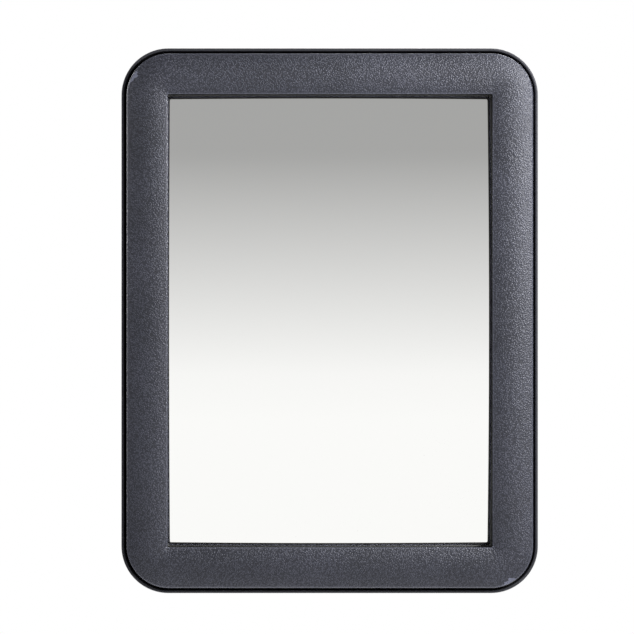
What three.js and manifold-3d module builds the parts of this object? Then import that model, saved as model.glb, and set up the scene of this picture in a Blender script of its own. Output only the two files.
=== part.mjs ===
// A small convex security mirror on a swivelling wall bracket, in millimetres.
// +Z is up and the mirror looks along -Y. The origin is the middle of the wall
// bracket's back face, which lies flat on the wall in the plane y = 0.
//
// The head is a front bezel nested in a rear tray. Between them lie a contoured
// gasket, the domed mirror pane, a foam pad and a flat backing board. Behind the
// tray a two-axis bracket tilts the head about X and pans it about Z.
import * as THREE from 'three';
import { mergeVertices } from 'three/addons/utils/BufferGeometryUtils.js';
import Module from 'manifold-3d';

const wasm = await Module();
wasm.setup();

// ---------------------------------------------------------------- dimensions
const GAP = 0.3; // between faces that touch on the real object

// Outline of the head seen from the front.
const HEAD = { halfX: 82, halfZ: 107.25, corner: 18.5 };
const WINDOW = { halfX: 63.75, halfZ: 88.9, corner: 0.5 };
const FRAME_WIDTH = 16; // from the window to the bezel's outer side
const RIM = { wall: 1.1, front: 3.5 }; // the tray's edge, seen round the bezel

// Depths inside the head, measured towards the wall from the window's front edge.
const CREST = -1; // top of the bezel's crowned face
const WINDOW_WALL_END = 3.7;
const BEZEL_WALL_END = 13;
const TRAY_FLOOR = { inside: 18.6, outside: 21 };
const TRAY_PAD = { halfX: 28, halfZ: 31, corner: 6, rise: 3.5 };
const POST_FRONT = 14; // front end of the tray's screw posts

const PANE = { halfX: 66.5, halfZ: 91.6, corner: 3, thick: 3, radius: 1800, apex: 4.2 };
const PAD = { halfX: 62, halfZ: 87, back: 13.5 };
const GASKET = { front: WINDOW_WALL_END + GAP, inset: 0.4, wall: 1.4, back: PAD.back };
const BOARD = { halfX: 66.2, halfZ: 91.3, front: PAD.back + GAP, thick: 2.5 };

// Bracket: the two pivot axes and the stack along each pivot bolt.
const PAN_AXIS_Y = -18;
const ARM_LENGTH = 36;
const TILT_AXIS_Y = PAN_AXIS_Y - ARM_LENGTH;
const PLATE_THICK = 3;
const TILT_TO_PLATE = 13; // tilt axis to the back of the head's bracket plate
const FACE_Y = TILT_AXIS_Y - TILT_TO_PLATE - PLATE_THICK - GAP
  - TRAY_FLOOR.outside - TRAY_PAD.rise;

const PIVOT = {
  bore: 3.3,
  shank: 3,
  eyeRadius: 9,
  eyeHalf: 7, // half the width of the arm's eye
  washerThick: 1,
  earInner: 8.6,
  earThick: 3.5,
  earRadius: 9.5,
  neckHalf: 3.1, // square neck under the bolt's head
  squareHalf: 3.4, // square hole that keeps the neck from turning
};
const EAR_OUTER = PIVOT.earInner + PIVOT.earThick;
const FLAT_WASHER = { from: EAR_OUTER + GAP, thick: 1.2, outer: 6.4 };
const SPRING_WASHER = { from: FLAT_WASHER.from + FLAT_WASHER.thick + GAP, thick: 1.3, outer: 6 };
const KNOB_FROM = SPRING_WASHER.from + SPRING_WASHER.thick + 2 * GAP;
const KNOB = { collar: 3.2, collarRadius: 7, body: 9, radius: 10, lobe: 1, lobes: 6 };
const INSERT = { outer: 4.2, bore: 3.2, length: 9.5 };

const WALL_PLATE = { halfX: 23, halfZ: 36, corner: 8, holeX: 16, holeZ: 27, hole: 2.4 };
const HEAD_PLATE = { halfX: 25, halfZ: 28, corner: 6, holeX: 17, holeZ: 21, hole: 2.3 };

const CASE_SCREW = { x: 71.9, z: 84, shank: 1.25, length: 12, head: 2.9, headThick: 2.1 };
const CASE_BOSS = { radius: 3.3, pilot: 1.6, pilotFront: 5.5 };
const BRACKET_SCREW = { shank: 1.95, length: 11, head: 3.9, headThick: 2.5 };
const NUT = { acrossFlats: 7, thick: 3, bore: 2.3 };

// ------------------------------------------------------------------ materials
const finish = (color, roughness, metalness) =>
  new THREE.MeshStandardMaterial({ color, roughness, metalness });
const MATERIALS = {
  bezel: finish(0x3a3b41, 0.45, 0),
  tray: finish(0x2b2c30, 0.55, 0),
  mirror: finish(0xe9ebea, 0.03, 1),
  rubber: finish(0x0d0d0e, 0.8, 0),
  foam: finish(0x55585c, 0.95, 0),
  board: finish(0x6b4f35, 0.85, 0),
  casting: finish(0x1f2022, 0.5, 0.2),
  zinc: finish(0xb4b7ba, 0.35, 1),
  nylon: finish(0xd9d6cb, 0.6, 0),
  knob: finish(0x17181a, 0.5, 0),
  brass: finish(0xb6924a, 0.35, 1),
};

// --------------------------------------------------------------- solid helpers
// A closed geometry as a manifold-3d solid.
function solidOf(geometry) {
  const bare = geometry.clone();
  bare.deleteAttribute('normal');
  bare.deleteAttribute('uv');
  const merged = mergeVertices(bare, 1e-4);
  const mesh = new wasm.Mesh({
    numProp: 3,
    vertProperties: merged.attributes.position.array,
    triVerts: new Uint32Array(merged.index.array),
  });
  return new wasm.Manifold(mesh);
}

// The manifold-3d solid as a geometry again.
function geometryOf(solid) {
  const { vertProperties, triVerts } = solid.getMesh();
  const geometry = new THREE.BufferGeometry();
  geometry.setAttribute('position', new THREE.BufferAttribute(vertProperties, 3));
  geometry.setIndex(new THREE.BufferAttribute(triVerts, 1));
  geometry.computeVertexNormals();
  return geometry;
}

const join = (geometries) =>
  geometries.map(solidOf).reduce((all, next) => all.add(next));
const carve = (solid, geometries) => solid.subtract(join(geometries));

// --------------------------------------------------------------- shape helpers
function roundedRect(halfX, halfZ, corner) {
  const x = halfX - corner;
  const z = halfZ - corner;
  const shape = new THREE.Shape();
  shape.absarc(x, z, corner, 0, Math.PI / 2);
  shape.absarc(-x, z, corner, Math.PI / 2, Math.PI);
  shape.absarc(-x, -z, corner, Math.PI, 1.5 * Math.PI);
  shape.absarc(x, -z, corner, 1.5 * Math.PI, 2 * Math.PI);
  shape.closePath();
  return shape;
}

// A shape drawn in the XZ plane, as thick as the stretch of Y from..to.
// bevel rounds both ends and keeps the outline's full size in between.
function slab(shape, from, to, { bevel = 0, curveSegments = 3, bevelSegments = 3 } = {}) {
  const geometry = new THREE.ExtrudeGeometry(shape, {
    depth: to - from - 2 * bevel,
    curveSegments,
    bevelEnabled: bevel > 0,
    bevelThickness: bevel,
    bevelSize: bevel,
    bevelOffset: -bevel,
    bevelSegments,
  });
  return geometry.rotateX(Math.PI / 2).translate(0, to - bevel, 0);
}

// A solid of revolution about Y from [radius, y] points, lowest y first.
const turned = (points, segments = 20) =>
  new THREE.LatheGeometry(points.map(([r, y]) => new THREE.Vector2(r, y)), segments);

// A round bar along Y.
const rod = (radius, from, to, segments = 20) =>
  new THREE.CylinderGeometry(radius, radius, to - from, segments)
    .translate(0, (from + to) / 2, 0);

// A block from its lowest and highest corners.
function block([x0, y0, z0], [x1, y1, z1]) {
  return new THREE.BoxGeometry(x1 - x0, y1 - y0, z1 - z0)
    .translate((x0 + x1) / 2, (y0 + y1) / 2, (z0 + z1) / 2);
}

// Everything behind a shallow sphere whose front is at depth apex on the axis.
function behindSphere(radius, apex, reach = 120, depth = 40, rings = 5) {
  const profile = [[0, apex]];
  for (let i = 1; i <= rings; i++) {
    const r = (reach * i) / rings;
    profile.push([r, apex + radius - Math.sqrt(radius * radius - r * r)]);
  }
  profile.push([reach, depth], [0, depth]);
  return turned(profile, 24);
}

// A closed [offset, depth] section carried round the window. The offset runs out
// from the window's edge, and each corner is an arc about the same centre.
function sweepRoundWindow(section, arcSteps = 7) {
  const positions = [];
  const index = [];
  const stations = 4 * (arcSteps + 1);
  for (let corner = 0; corner < 4; corner++) {
    const signX = corner === 0 || corner === 3 ? 1 : -1;
    const signZ = corner < 2 ? 1 : -1;
    for (let step = 0; step <= arcSteps; step++) {
      const angle = (corner + step / arcSteps) * (Math.PI / 2);
      for (const [offset, depth] of section) {
        const r = WINDOW.corner + offset;
        positions.push(
          signX * (WINDOW.halfX - WINDOW.corner) + r * Math.cos(angle),
          depth,
          signZ * (WINDOW.halfZ - WINDOW.corner) + r * Math.sin(angle),
        );
      }
    }
  }
  const n = section.length;
  for (let s = 0; s < stations; s++) {
    for (let i = 0; i < n; i++) {
      const a = s * n + i;
      const b = s * n + ((i + 1) % n);
      const c = ((s + 1) % stations) * n + i;
      const d = ((s + 1) % stations) * n + ((i + 1) % n);
      index.push(a, b, c, b, d, c);
    }
  }
  const geometry = new THREE.BufferGeometry();
  geometry.setAttribute('position', new THREE.Float32BufferAttribute(positions, 3));
  geometry.setIndex(index);
  return geometry;
}

function node(group, name, geometry, material) {
  const mesh = new THREE.Mesh(geometry, material);
  mesh.name = name;
  group.add(mesh);
  return mesh;
}

// ------------------------------------------------------------------- the head
// In the head's group, Y is the depth towards the wall from the window's edge.
const caseScrewPlaces = [-1, 1].flatMap((side) =>
  [-1, 0, 1].map((row) => [side * CASE_SCREW.x, row * CASE_SCREW.z]));
const bracketScrewPlaces = [-1, 1].flatMap((side) =>
  [-1, 1].map((row) => [side * HEAD_PLATE.holeX, row * HEAD_PLATE.holeZ]));

// Crowned ring with a return wall at the window, a side wall and six bosses.
function bezelGeometry() {
  const wall = 1.8;
  const under = 1.6; // depth of the face's underside
  const outerFillet = 1;
  const section = [
    [0, WINDOW_WALL_END],
    [0, 0.4],
    [0.4, 0],
  ];
  const crownSteps = 4;
  for (let i = 1; i < crownSteps; i++) {
    const f = i / crownSteps;
    const crown = 4 * f * (1 - f);
    section.push([f * (FRAME_WIDTH - outerFillet), CREST * crown]);
  }
  for (let i = 0; i <= 3; i++) {
    const angle = (i / 3) * (Math.PI / 2);
    section.push([
      FRAME_WIDTH - outerFillet + outerFillet * Math.sin(angle),
      outerFillet * (1 - Math.cos(angle)),
    ]);
  }
  section.push(
    [FRAME_WIDTH, BEZEL_WALL_END],
    [FRAME_WIDTH - wall, BEZEL_WALL_END],
    [FRAME_WIDTH - wall, under + 1],
    [FRAME_WIDTH - wall - 1, under],
    [wall, under],
    [wall, WINDOW_WALL_END],
  );
  const bosses = caseScrewPlaces.flatMap(([x, z]) => {
    const side = Math.sign(x);
    const webEnds = [side * (CASE_SCREW.x + 2), side * (WINDOW.halfX + FRAME_WIDTH - 1)];
    return [
      rod(CASE_BOSS.radius, 1, POST_FRONT - GAP, 16).translate(x, 0, z),
      block(
        [Math.min(...webEnds), 1, z - 0.8],
        [Math.max(...webEnds), BEZEL_WALL_END - 1, z + 0.8],
      ),
    ];
  });
  const pilots = caseScrewPlaces.map(([x, z]) =>
    rod(CASE_BOSS.pilot, CASE_BOSS.pilotFront, POST_FRONT + 1, 12).translate(x, 0, z));
  return geometryOf(carve(join([sweepRoundWindow(section), ...bosses]), pilots));
}

// Rubber ring: a flat front on the window wall, a back that follows the pane.
function gasketGeometry() {
  const outline = roundedRect(
    PANE.halfX + GAP + GASKET.wall, PANE.halfZ + GAP + GASKET.wall, PANE.corner + GASKET.wall);
  const opening = roundedRect(WINDOW.halfX + GASKET.inset, WINDOW.halfZ + GASKET.inset, 1);
  const pocket = solidOf(slab(
    roundedRect(PANE.halfX + GAP, PANE.halfZ + GAP, PANE.corner), 0, 40));
  const seat = pocket.intersect(solidOf(behindSphere(PANE.radius, PANE.apex - GAP)));
  const ring = solidOf(slab(outline, GASKET.front, GASKET.back))
    .subtract(solidOf(slab(opening, 0, 40)));
  return geometryOf(ring.subtract(seat));
}

// Spherical sheet cut to a rectangle; both faces share one centre.
function paneGeometry() {
  const outline = roundedRect(PANE.halfX, PANE.halfZ, PANE.corner);
  const front = solidOf(behindSphere(PANE.radius, PANE.apex));
  const back = solidOf(behindSphere(PANE.radius - PANE.thick, PANE.apex + PANE.thick));
  return geometryOf(front.subtract(back).intersect(solidOf(slab(outline, 0, 35))));
}

function padGeometry() {
  const body = solidOf(slab(roundedRect(PAD.halfX, PAD.halfZ, 4), 0, PAD.back));
  const front = behindSphere(PANE.radius - PANE.thick, PANE.apex + PANE.thick + GAP);
  return geometryOf(body.intersect(solidOf(front)));
}

// Dish with a rounded back edge, screw posts, support ribs and a mounting pad.
function trayGeometry() {
  const backRound = 5;
  const { wall } = RIM;
  const shell = solidOf(slab(
    roundedRect(HEAD.halfX, HEAD.halfZ, HEAD.corner),
    -10, TRAY_FLOOR.outside, { bevel: backRound, bevelSegments: 4, curveSegments: 7 }));
  const inner = slab(
    roundedRect(HEAD.halfX - wall, HEAD.halfZ - wall, HEAD.corner - wall),
    -15, TRAY_FLOOR.inside, { bevel: backRound - wall, bevelSegments: 3, curveSegments: 7 });
  const frontTrim = block([-100, -30, -130], [100, RIM.front, 130]);
  const dish = shell.subtract(solidOf(inner)).subtract(solidOf(frontTrim));

  const ribFront = BOARD.front + BOARD.thick + GAP;
  const floor = TRAY_FLOOR.inside + 0.5;
  const ribs = [-45, 45].map((x) => block([x - 1, ribFront, -84], [x + 1, floor, 84]))
    .concat([-62, 62].map((z) => block([-60, ribFront, z - 1], [60, floor, z + 1])));
  const posts = caseScrewPlaces.map(([x, z]) =>
    rod(4.4, POST_FRONT, floor, 16).translate(x, 0, z));
  const pad = slab(
    roundedRect(TRAY_PAD.halfX, TRAY_PAD.halfZ, TRAY_PAD.corner),
    TRAY_FLOOR.outside - 1, TRAY_FLOOR.outside + TRAY_PAD.rise);

  const counterbore = TRAY_FLOOR.outside - 2.8;
  const caseHoles = caseScrewPlaces.flatMap(([x, z]) => [
    rod(1.7, POST_FRONT - 1, 30, 12).translate(x, 0, z),
    rod(3.4, counterbore, 30, 16).translate(x, 0, z),
  ]);
  const nutPocketRadius = (NUT.acrossFlats / 2 + GAP) / Math.cos(Math.PI / 6);
  const bracketHoles = bracketScrewPlaces.flatMap(([x, z]) => [
    rod(HEAD_PLATE.hole, 10, 30, 16).translate(x, 0, z),
    rod(nutPocketRadius, 10, TRAY_FLOOR.inside + NUT.thick + 2 * GAP, 6).translate(x, 0, z),
  ]);
  const walls = [ribs, posts, [pad]].flat().map(solidOf)
    .reduce((all, next) => all.add(next), dish);
  return geometryOf(carve(walls, [...caseHoles, ...bracketHoles]));
}

// ---------------------------------------------------------------- fasteners
// A pan-head screw along Y: the head's seat is at y = 0 and its top at +Y.
function screwGeometry({ shank, length, head, headThick }) {
  const tip = Math.min(2, length / 5);
  const body = solidOf(turned([
    [0, -length],
    [shank * 0.4, -length + tip * 0.3],
    [shank, -length + tip],
    [shank, 0],
    [head, 0],
    [head, headThick * 0.45],
    [head * 0.8, headThick * 0.85],
    [0, headThick],
  ], 12));
  const slot = head * 0.13;
  const reach = head * 0.55;
  return geometryOf(carve(body, [
    block([-slot, headThick * 0.45, -reach], [slot, headThick + 1, reach]),
    block([-reach, headThick * 0.45, -slot], [reach, headThick + 1, slot]),
  ]));
}

function nutGeometry() {
  const radius = NUT.acrossFlats / 2 / Math.cos(Math.PI / 6);
  return geometryOf(solidOf(rod(radius, 0, NUT.thick, 6))
    .subtract(solidOf(rod(NUT.bore, -1, NUT.thick + 1, 16))));
}

// A ring about Y. cone lifts its inner edge, as on a spring washer.
function washerGeometry(bore, outer, thick, cone = 0) {
  return turned([
    [bore, cone],
    [outer, 0],
    [outer, thick - cone],
    [bore, thick],
    [bore, cone],
  ], 20);
}

// ---------------------------------------------------------------- the pivots
// Along a pivot, Y runs from the bolt's head to the knob and 0 is mid-eye.
function pivotBoltGeometry() {
  const seat = -EAR_OUTER - GAP;
  const end = KNOB_FROM + INSERT.length - 0.8;
  const body = turned([
    [0, seat - 3.2],
    [3.6, seat - 2.6],
    [6.2, seat - 0.8],
    [6.5, seat],
    [PIVOT.shank, seat],
    [PIVOT.shank, end - 0.8],
    [PIVOT.shank - 0.7, end],
    [0, end],
  ], 24);
  const neck = block(
    [-PIVOT.neckHalf, seat - 0.2, -PIVOT.neckHalf],
    [PIVOT.neckHalf, seat + 3.2, PIVOT.neckHalf]);
  return geometryOf(join([body, neck]));
}

function knobGeometry() {
  const points = [];
  const steps = KNOB.lobes * 6;
  for (let i = 0; i < steps; i++) {
    const angle = (i / steps) * 2 * Math.PI;
    const r = KNOB.radius + KNOB.lobe * Math.cos(KNOB.lobes * angle);
    points.push(new THREE.Vector2(r * Math.cos(angle), r * Math.sin(angle)));
  }
  const from = KNOB_FROM + KNOB.collar;
  const grip = slab(new THREE.Shape(points), from, from + KNOB.body,
    { bevel: 1, bevelSegments: 1 });
  const collar = rod(KNOB.collarRadius, KNOB_FROM, from + 1, 24);
  const socket = rod(INSERT.outer + GAP, KNOB_FROM - 1, KNOB_FROM + INSERT.length + GAP, 24);
  return geometryOf(join([grip, collar]).subtract(solidOf(socket)));
}

const insertGeometry = () => washerGeometry(INSERT.bore, INSERT.outer, INSERT.length);

// An ear: a plate across the pivot with a round end, drawn in the XZ plane about
// the pivot and reaching back along -X to foot.
function earShape(foot, radius) {
  const shape = new THREE.Shape();
  shape.moveTo(-foot, -radius);
  shape.absarc(0, 0, radius, -Math.PI / 2, Math.PI / 2);
  shape.lineTo(-foot, radius);
  shape.closePath();
  return shape;
}

// The pair of ears of a clevis along Y, the head-side one with a square hole.
function clevisEars(foot) {
  const outline = () => slab(earShape(foot, PIVOT.earRadius), PIVOT.earInner, EAR_OUTER,
    { curveSegments: 6 });
  const s = PIVOT.squareHalf;
  const knobEar = solidOf(outline()).subtract(solidOf(rod(PIVOT.bore, 0, 20, 24)));
  const boltEar = solidOf(outline().translate(0, -PIVOT.earInner - EAR_OUTER, 0))
    .subtract(solidOf(block([-s, -20, -s], [s, 0, s])));
  return [knobEar, boltEar].map(geometryOf);
}

// Turns that carry a pivot's Y onto the pivot's axis, with the ears' -X foot
// towards the plate they grow from.
const toTilt = (g) => g.rotateZ(-Math.PI / 2); // Y to +X, -X foot to +Y
const toPan = (g) => g.rotateX(-Math.PI / 2).rotateZ(Math.PI / 2); // Y to -Z, -X to -Y

function headBracketGeometry() {
  const reach = TILT_TO_PLATE + PLATE_THICK / 2;
  const ears = clevisEars(reach).map((g) => toTilt(g).rotateX(Math.PI));
  const plate = slab(
    roundedRect(HEAD_PLATE.halfX, HEAD_PLATE.halfZ, HEAD_PLATE.corner),
    -TILT_TO_PLATE - PLATE_THICK, -TILT_TO_PLATE);
  const holes = bracketScrewPlaces.map(([x, z]) =>
    rod(HEAD_PLATE.hole, -30, 0, 16).translate(x, 0, z));
  return geometryOf(carve(join([plate, ...ears]), holes));
}

function wallBracketGeometry() {
  const reach = -PAN_AXIS_Y - PLATE_THICK / 2;
  const ears = clevisEars(reach).map((g) => toPan(g).rotateZ(Math.PI).translate(0, PAN_AXIS_Y, 0));
  const plate = slab(
    roundedRect(WALL_PLATE.halfX, WALL_PLATE.halfZ, WALL_PLATE.corner), -PLATE_THICK, 0);
  const { hole, holeX, holeZ } = WALL_PLATE;
  const sink = hole + 2.1;
  const holes = [-1, 1].flatMap((side) => [-1, 1].map((row) =>
    turned([[0, 1], [hole, 1], [hole, -0.8], [sink, -PLATE_THICK], [sink, -6], [0, -6]].reverse(), 16)
      .translate(side * holeX, 0, row * holeZ)));
  return geometryOf(carve(join([plate, ...ears]), holes));
}

// Arm with an upright eye at the wall end and a level eye at the mirror end.
function armGeometry() {
  const { eyeRadius, eyeHalf, bore } = PIVOT;
  const panEye = rod(eyeRadius, -eyeHalf, eyeHalf, 28).rotateX(Math.PI / 2);
  const tiltEye = rod(eyeRadius, -eyeHalf, eyeHalf, 28).rotateZ(Math.PI / 2)
    .translate(0, -ARM_LENGTH, 0);
  const neck = slab(roundedRect(5.5, 5.5, 2), -ARM_LENGTH, 0);
  const panBore = rod(bore, -20, 20, 24).rotateX(Math.PI / 2);
  const tiltBore = rod(bore, -20, 20, 24).rotateZ(Math.PI / 2).translate(0, -ARM_LENGTH, 0);
  return geometryOf(carve(join([panEye, tiltEye, neck]), [panBore, tiltBore]));
}

// The pieces on one pivot: bolt, two friction washers, flat and spring washers
// and the knob with its brass insert. place turns a geometry onto the pivot.
function pivotPieces(name, place, sides) {
  const washer = () => washerGeometry(PIVOT.bore + 0.1, PIVOT.earRadius - 1, PIVOT.washerThick);
  const washerAt = PIVOT.eyeHalf + GAP;
  return {
    bolt: [`${name}_bolt`, place(pivotBoltGeometry()), MATERIALS.zinc],
    arm: [
      [`${name}_friction_washer_${sides[0]}`,
        place(washer().translate(0, -washerAt - PIVOT.washerThick, 0)), MATERIALS.nylon],
      [`${name}_friction_washer_${sides[1]}`,
        place(washer().translate(0, washerAt, 0)), MATERIALS.nylon],
    ],
    washers: [
      [`${name}_flat_washer`,
        place(washerGeometry(PIVOT.bore, FLAT_WASHER.outer, FLAT_WASHER.thick)
          .translate(0, FLAT_WASHER.from, 0)), MATERIALS.zinc],
      [`${name}_spring_washer`,
        place(washerGeometry(PIVOT.bore, SPRING_WASHER.outer, SPRING_WASHER.thick, 0.5)
          .translate(0, SPRING_WASHER.from, 0)), MATERIALS.zinc],
    ],
    knob: [
      [`${name}_knob`, place(knobGeometry()), MATERIALS.knob],
      [`${name}_knob_insert`,
        place(insertGeometry().translate(0, KNOB_FROM, 0)), MATERIALS.brass],
    ],
  };
}

// -------------------------------------------------------------------- assembly
const mirror = new THREE.Group();
const atPan = new THREE.Group(); // origin on the pan axis
atPan.position.y = PAN_AXIS_Y;
mirror.add(atPan);
const atTilt = new THREE.Group(); // origin on the tilt axis
atTilt.position.y = -ARM_LENGTH;
atPan.add(atTilt);
const inHead = new THREE.Group(); // origin on the window's front edge
inHead.position.y = FACE_Y - TILT_AXIS_Y;
atTilt.add(inHead);

node(inHead, 'front_bezel', bezelGeometry(), MATERIALS.bezel);
node(inHead, 'pane_gasket', gasketGeometry(), MATERIALS.rubber);
node(inHead, 'mirror_pane', paneGeometry(), MATERIALS.mirror);
node(inHead, 'backing_pad', padGeometry(), MATERIALS.foam);
node(inHead, 'backing_board',
  slab(roundedRect(BOARD.halfX, BOARD.halfZ, PANE.corner), BOARD.front, BOARD.front + BOARD.thick),
  MATERIALS.board);
node(inHead, 'rear_tray', trayGeometry(), MATERIALS.tray);

caseScrewPlaces.forEach(([x, z], i) => {
  const screw = node(inHead, `case_screw_${i + 1}`, screwGeometry(CASE_SCREW), MATERIALS.zinc);
  screw.position.set(x, TRAY_FLOOR.outside - 2.8 + GAP, z);
});
bracketScrewPlaces.forEach(([x, z], i) => {
  const nut = node(inHead, `captive_nut_${i + 1}`, nutGeometry(), MATERIALS.zinc);
  nut.position.set(x, TRAY_FLOOR.inside + GAP, z);
  const screw = node(atTilt, `bracket_screw_${i + 1}`, screwGeometry(BRACKET_SCREW), MATERIALS.zinc);
  screw.position.set(x, -TILT_TO_PLATE + GAP, z);
});
node(atTilt, 'head_bracket', headBracketGeometry(), MATERIALS.casting);

const tilt = pivotPieces('tilt', toTilt, ['left', 'right']);
for (const piece of [tilt.bolt, ...tilt.arm, ...tilt.washers, ...tilt.knob]) node(atTilt, ...piece);

node(atPan, 'swivel_arm', armGeometry(), MATERIALS.casting);
const pan = pivotPieces('pan', toPan, ['upper', 'lower']);
for (const piece of [pan.bolt, ...pan.arm, ...pan.washers, ...pan.knob]) node(atPan, ...piece);

node(mirror, 'wall_bracket', wallBracketGeometry(), MATERIALS.casting);

export default mirror;
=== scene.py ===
# %% [markdown]
# # A small convex security mirror on a pan and tilt bracket
#
# The object is an upright mirror with a slightly domed pane. A crowned black plastic bezel is
# nested in a plastic tray, and a two-axis bracket behind the tray holds the head off the wall.
# This lesson makes the fine surfaces round a finished mechanical model: every size starts from
# that model's boxes, and every new piece moves with the body that it belongs to.
#
# The frame is loaded first. The mirror looks along -Y, Z is up, and the wall is the plane y = 0.
# Lengths are metres, so millimetres are written with MM. Points closer than TINY are merged, and
# a place is found again when it is less than NEAR away.

# %% Load the mechanical frame
import math
import bmesh
import bpy
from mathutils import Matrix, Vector


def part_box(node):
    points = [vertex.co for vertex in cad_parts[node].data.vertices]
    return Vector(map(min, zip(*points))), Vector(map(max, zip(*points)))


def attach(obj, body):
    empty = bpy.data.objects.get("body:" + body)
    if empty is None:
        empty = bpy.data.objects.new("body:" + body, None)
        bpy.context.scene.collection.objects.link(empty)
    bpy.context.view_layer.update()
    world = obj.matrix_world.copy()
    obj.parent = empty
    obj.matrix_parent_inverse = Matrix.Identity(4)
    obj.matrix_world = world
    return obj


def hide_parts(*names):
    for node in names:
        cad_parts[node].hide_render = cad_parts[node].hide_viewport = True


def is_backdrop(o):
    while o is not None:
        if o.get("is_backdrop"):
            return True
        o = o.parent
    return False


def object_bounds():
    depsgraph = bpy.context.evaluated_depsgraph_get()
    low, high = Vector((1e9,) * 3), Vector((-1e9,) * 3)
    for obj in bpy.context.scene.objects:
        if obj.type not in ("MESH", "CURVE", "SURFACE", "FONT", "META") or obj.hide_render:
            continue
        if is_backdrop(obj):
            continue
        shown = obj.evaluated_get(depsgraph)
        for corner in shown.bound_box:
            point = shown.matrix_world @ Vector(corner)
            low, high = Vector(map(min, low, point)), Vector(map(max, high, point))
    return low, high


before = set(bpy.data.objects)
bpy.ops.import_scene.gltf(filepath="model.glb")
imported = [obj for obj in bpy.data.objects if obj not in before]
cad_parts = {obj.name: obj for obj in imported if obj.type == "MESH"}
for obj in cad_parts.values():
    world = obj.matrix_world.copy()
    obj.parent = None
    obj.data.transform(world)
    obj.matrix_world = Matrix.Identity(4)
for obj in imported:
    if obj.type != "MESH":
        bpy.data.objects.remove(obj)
cad_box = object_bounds()
MM = 0.001
TINY = 0.001 * MM
NEAR = 0.01 * MM
QUARTER = math.radians(90)

# %% [markdown]
# ## Small helpers
#
# Operators act on whatever is selected, and the loaded frame is selected when the script starts.
# So each piece begins with nothing selected. In edit mode, faces, edges and points are picked
# by a test on their place or their normal, as a person would pick them by eye.

# %% Helpers for selecting
def deselect_all():
    if bpy.context.object is not None and bpy.context.object.mode != "OBJECT":
        bpy.ops.object.mode_set(mode="OBJECT")
    bpy.ops.object.select_all(action="DESELECT")


def select_only(*pieces):
    deselect_all()
    for piece in pieces:
        piece.select_set(True)
    bpy.context.view_layer.objects.active = pieces[0]


def edit(piece):
    """Opens one piece in edit mode."""
    select_only(piece)
    bpy.ops.object.mode_set(mode="EDIT")


def leave_edit():
    bpy.ops.object.mode_set(mode="OBJECT")


def pick(kind, test):
    """In edit mode, selects the "VERT", "EDGE" or "FACE" elements that pass the test."""
    bpy.ops.mesh.select_mode(type=kind)
    bpy.ops.mesh.select_all(action="DESELECT")
    mesh = bmesh.from_edit_mesh(bpy.context.edit_object.data)
    elements = {"VERT": mesh.verts, "EDGE": mesh.edges, "FACE": mesh.faces}[kind]
    chosen = [element for element in elements if test(element)]
    for element in chosen:
        element.select_set(True)
    bmesh.update_edit_mesh(bpy.context.edit_object.data)
    return len(chosen)


def middle(edge):
    return (edge.verts[0].co + edge.verts[1].co) / 2


def runs_along(edge, axis):
    """True if the edge is parallel to the axis 0, 1 or 2."""
    run = edge.verts[1].co - edge.verts[0].co
    return abs(run[axis]) > 0.999 * run.length


# %% Helpers for modifiers, booleans and finishing
def apply_modifier(piece, kind, **settings):
    """Adds one modifier with these settings and applies it."""
    select_only(piece)
    modifier = piece.modifiers.new(kind.title(), kind)
    for setting, value in settings.items():
        setattr(modifier, setting, value)
    bpy.ops.object.modifier_apply(modifier=modifier.name)


def soften_edges(piece, width, segments, sharper_than):
    """Rounds the edges where faces meet at more than this many degrees."""
    apply_modifier(
        piece, "BEVEL", width=width, segments=segments, limit_method="ANGLE",
        angle_limit=math.radians(sharper_than))


def cut_or_join(piece, tool, operation):
    """A boolean with a tool that is then thrown away."""
    apply_modifier(piece, "BOOLEAN", operation=operation, solver="EXACT", object=tool)
    bpy.data.objects.remove(tool, do_unlink=True)


def settle():
    """Puts the selected objects' move, turn and scale into their meshes."""
    bpy.ops.object.transform_apply(location=True, rotation=True, scale=True)


def place(piece, shift):
    """Moves a piece, and its object stays at the origin."""
    select_only(piece)
    bpy.ops.transform.translate(value=shift)
    settle()


def copy_of(piece, name):
    """A copy with its own mesh."""
    select_only(piece)
    bpy.ops.object.duplicate(linked=False)
    copied = bpy.context.object
    copied.name = name
    return copied


def close_mesh():
    """In edit mode: merges doubled points, turns every face outwards and leaves edit mode."""
    bpy.ops.mesh.select_all(action="SELECT")
    bpy.ops.mesh.remove_doubles(threshold=TINY)
    bpy.ops.mesh.normals_make_consistent(inside=False)
    leave_edit()


SMOOTH_BELOW = math.radians(30)
FLAT_FACE_WEIGHT = 80


def finish_piece(piece, name, slot, body, *replaced):
    """Cleans the mesh, gives it the slot's finish, ties the piece to its body and hides the
    nodes that it stands for. Weighted normals keep the large flat faces evenly shaded."""
    select_only(piece)
    settle()
    bpy.ops.object.mode_set(mode="EDIT")
    close_mesh()
    bpy.ops.object.shade_smooth_by_angle(angle=SMOOTH_BELOW)
    apply_modifier(piece, "WEIGHTED_NORMAL", keep_sharp=True, weight=FLAT_FACE_WEIGHT)
    piece.name = name
    piece.data.materials.clear()
    piece.data.materials.append(finishes[slot])
    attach(piece, body)
    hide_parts(*replaced)
    print(f"{name}: {len(piece.data.polygons)} faces, rides on {body}")


# %% [markdown]
# ## Where things are
#
# The head's own measure is the depth towards the wall from the front edge of the window. The
# boxes of the mechanical nodes give the outer sizes, and the rest follows from how the pieces
# are made: a 16 mm frame member, a 1.1 mm tray wall and a 3 mm pane on a 1.8 m sphere.

# %% Sizes read from the frame
bezel_low, bezel_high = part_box("front_bezel")
tray_low, tray_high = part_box("rear_tray")
pane_low, pane_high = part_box("mirror_pane")

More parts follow.
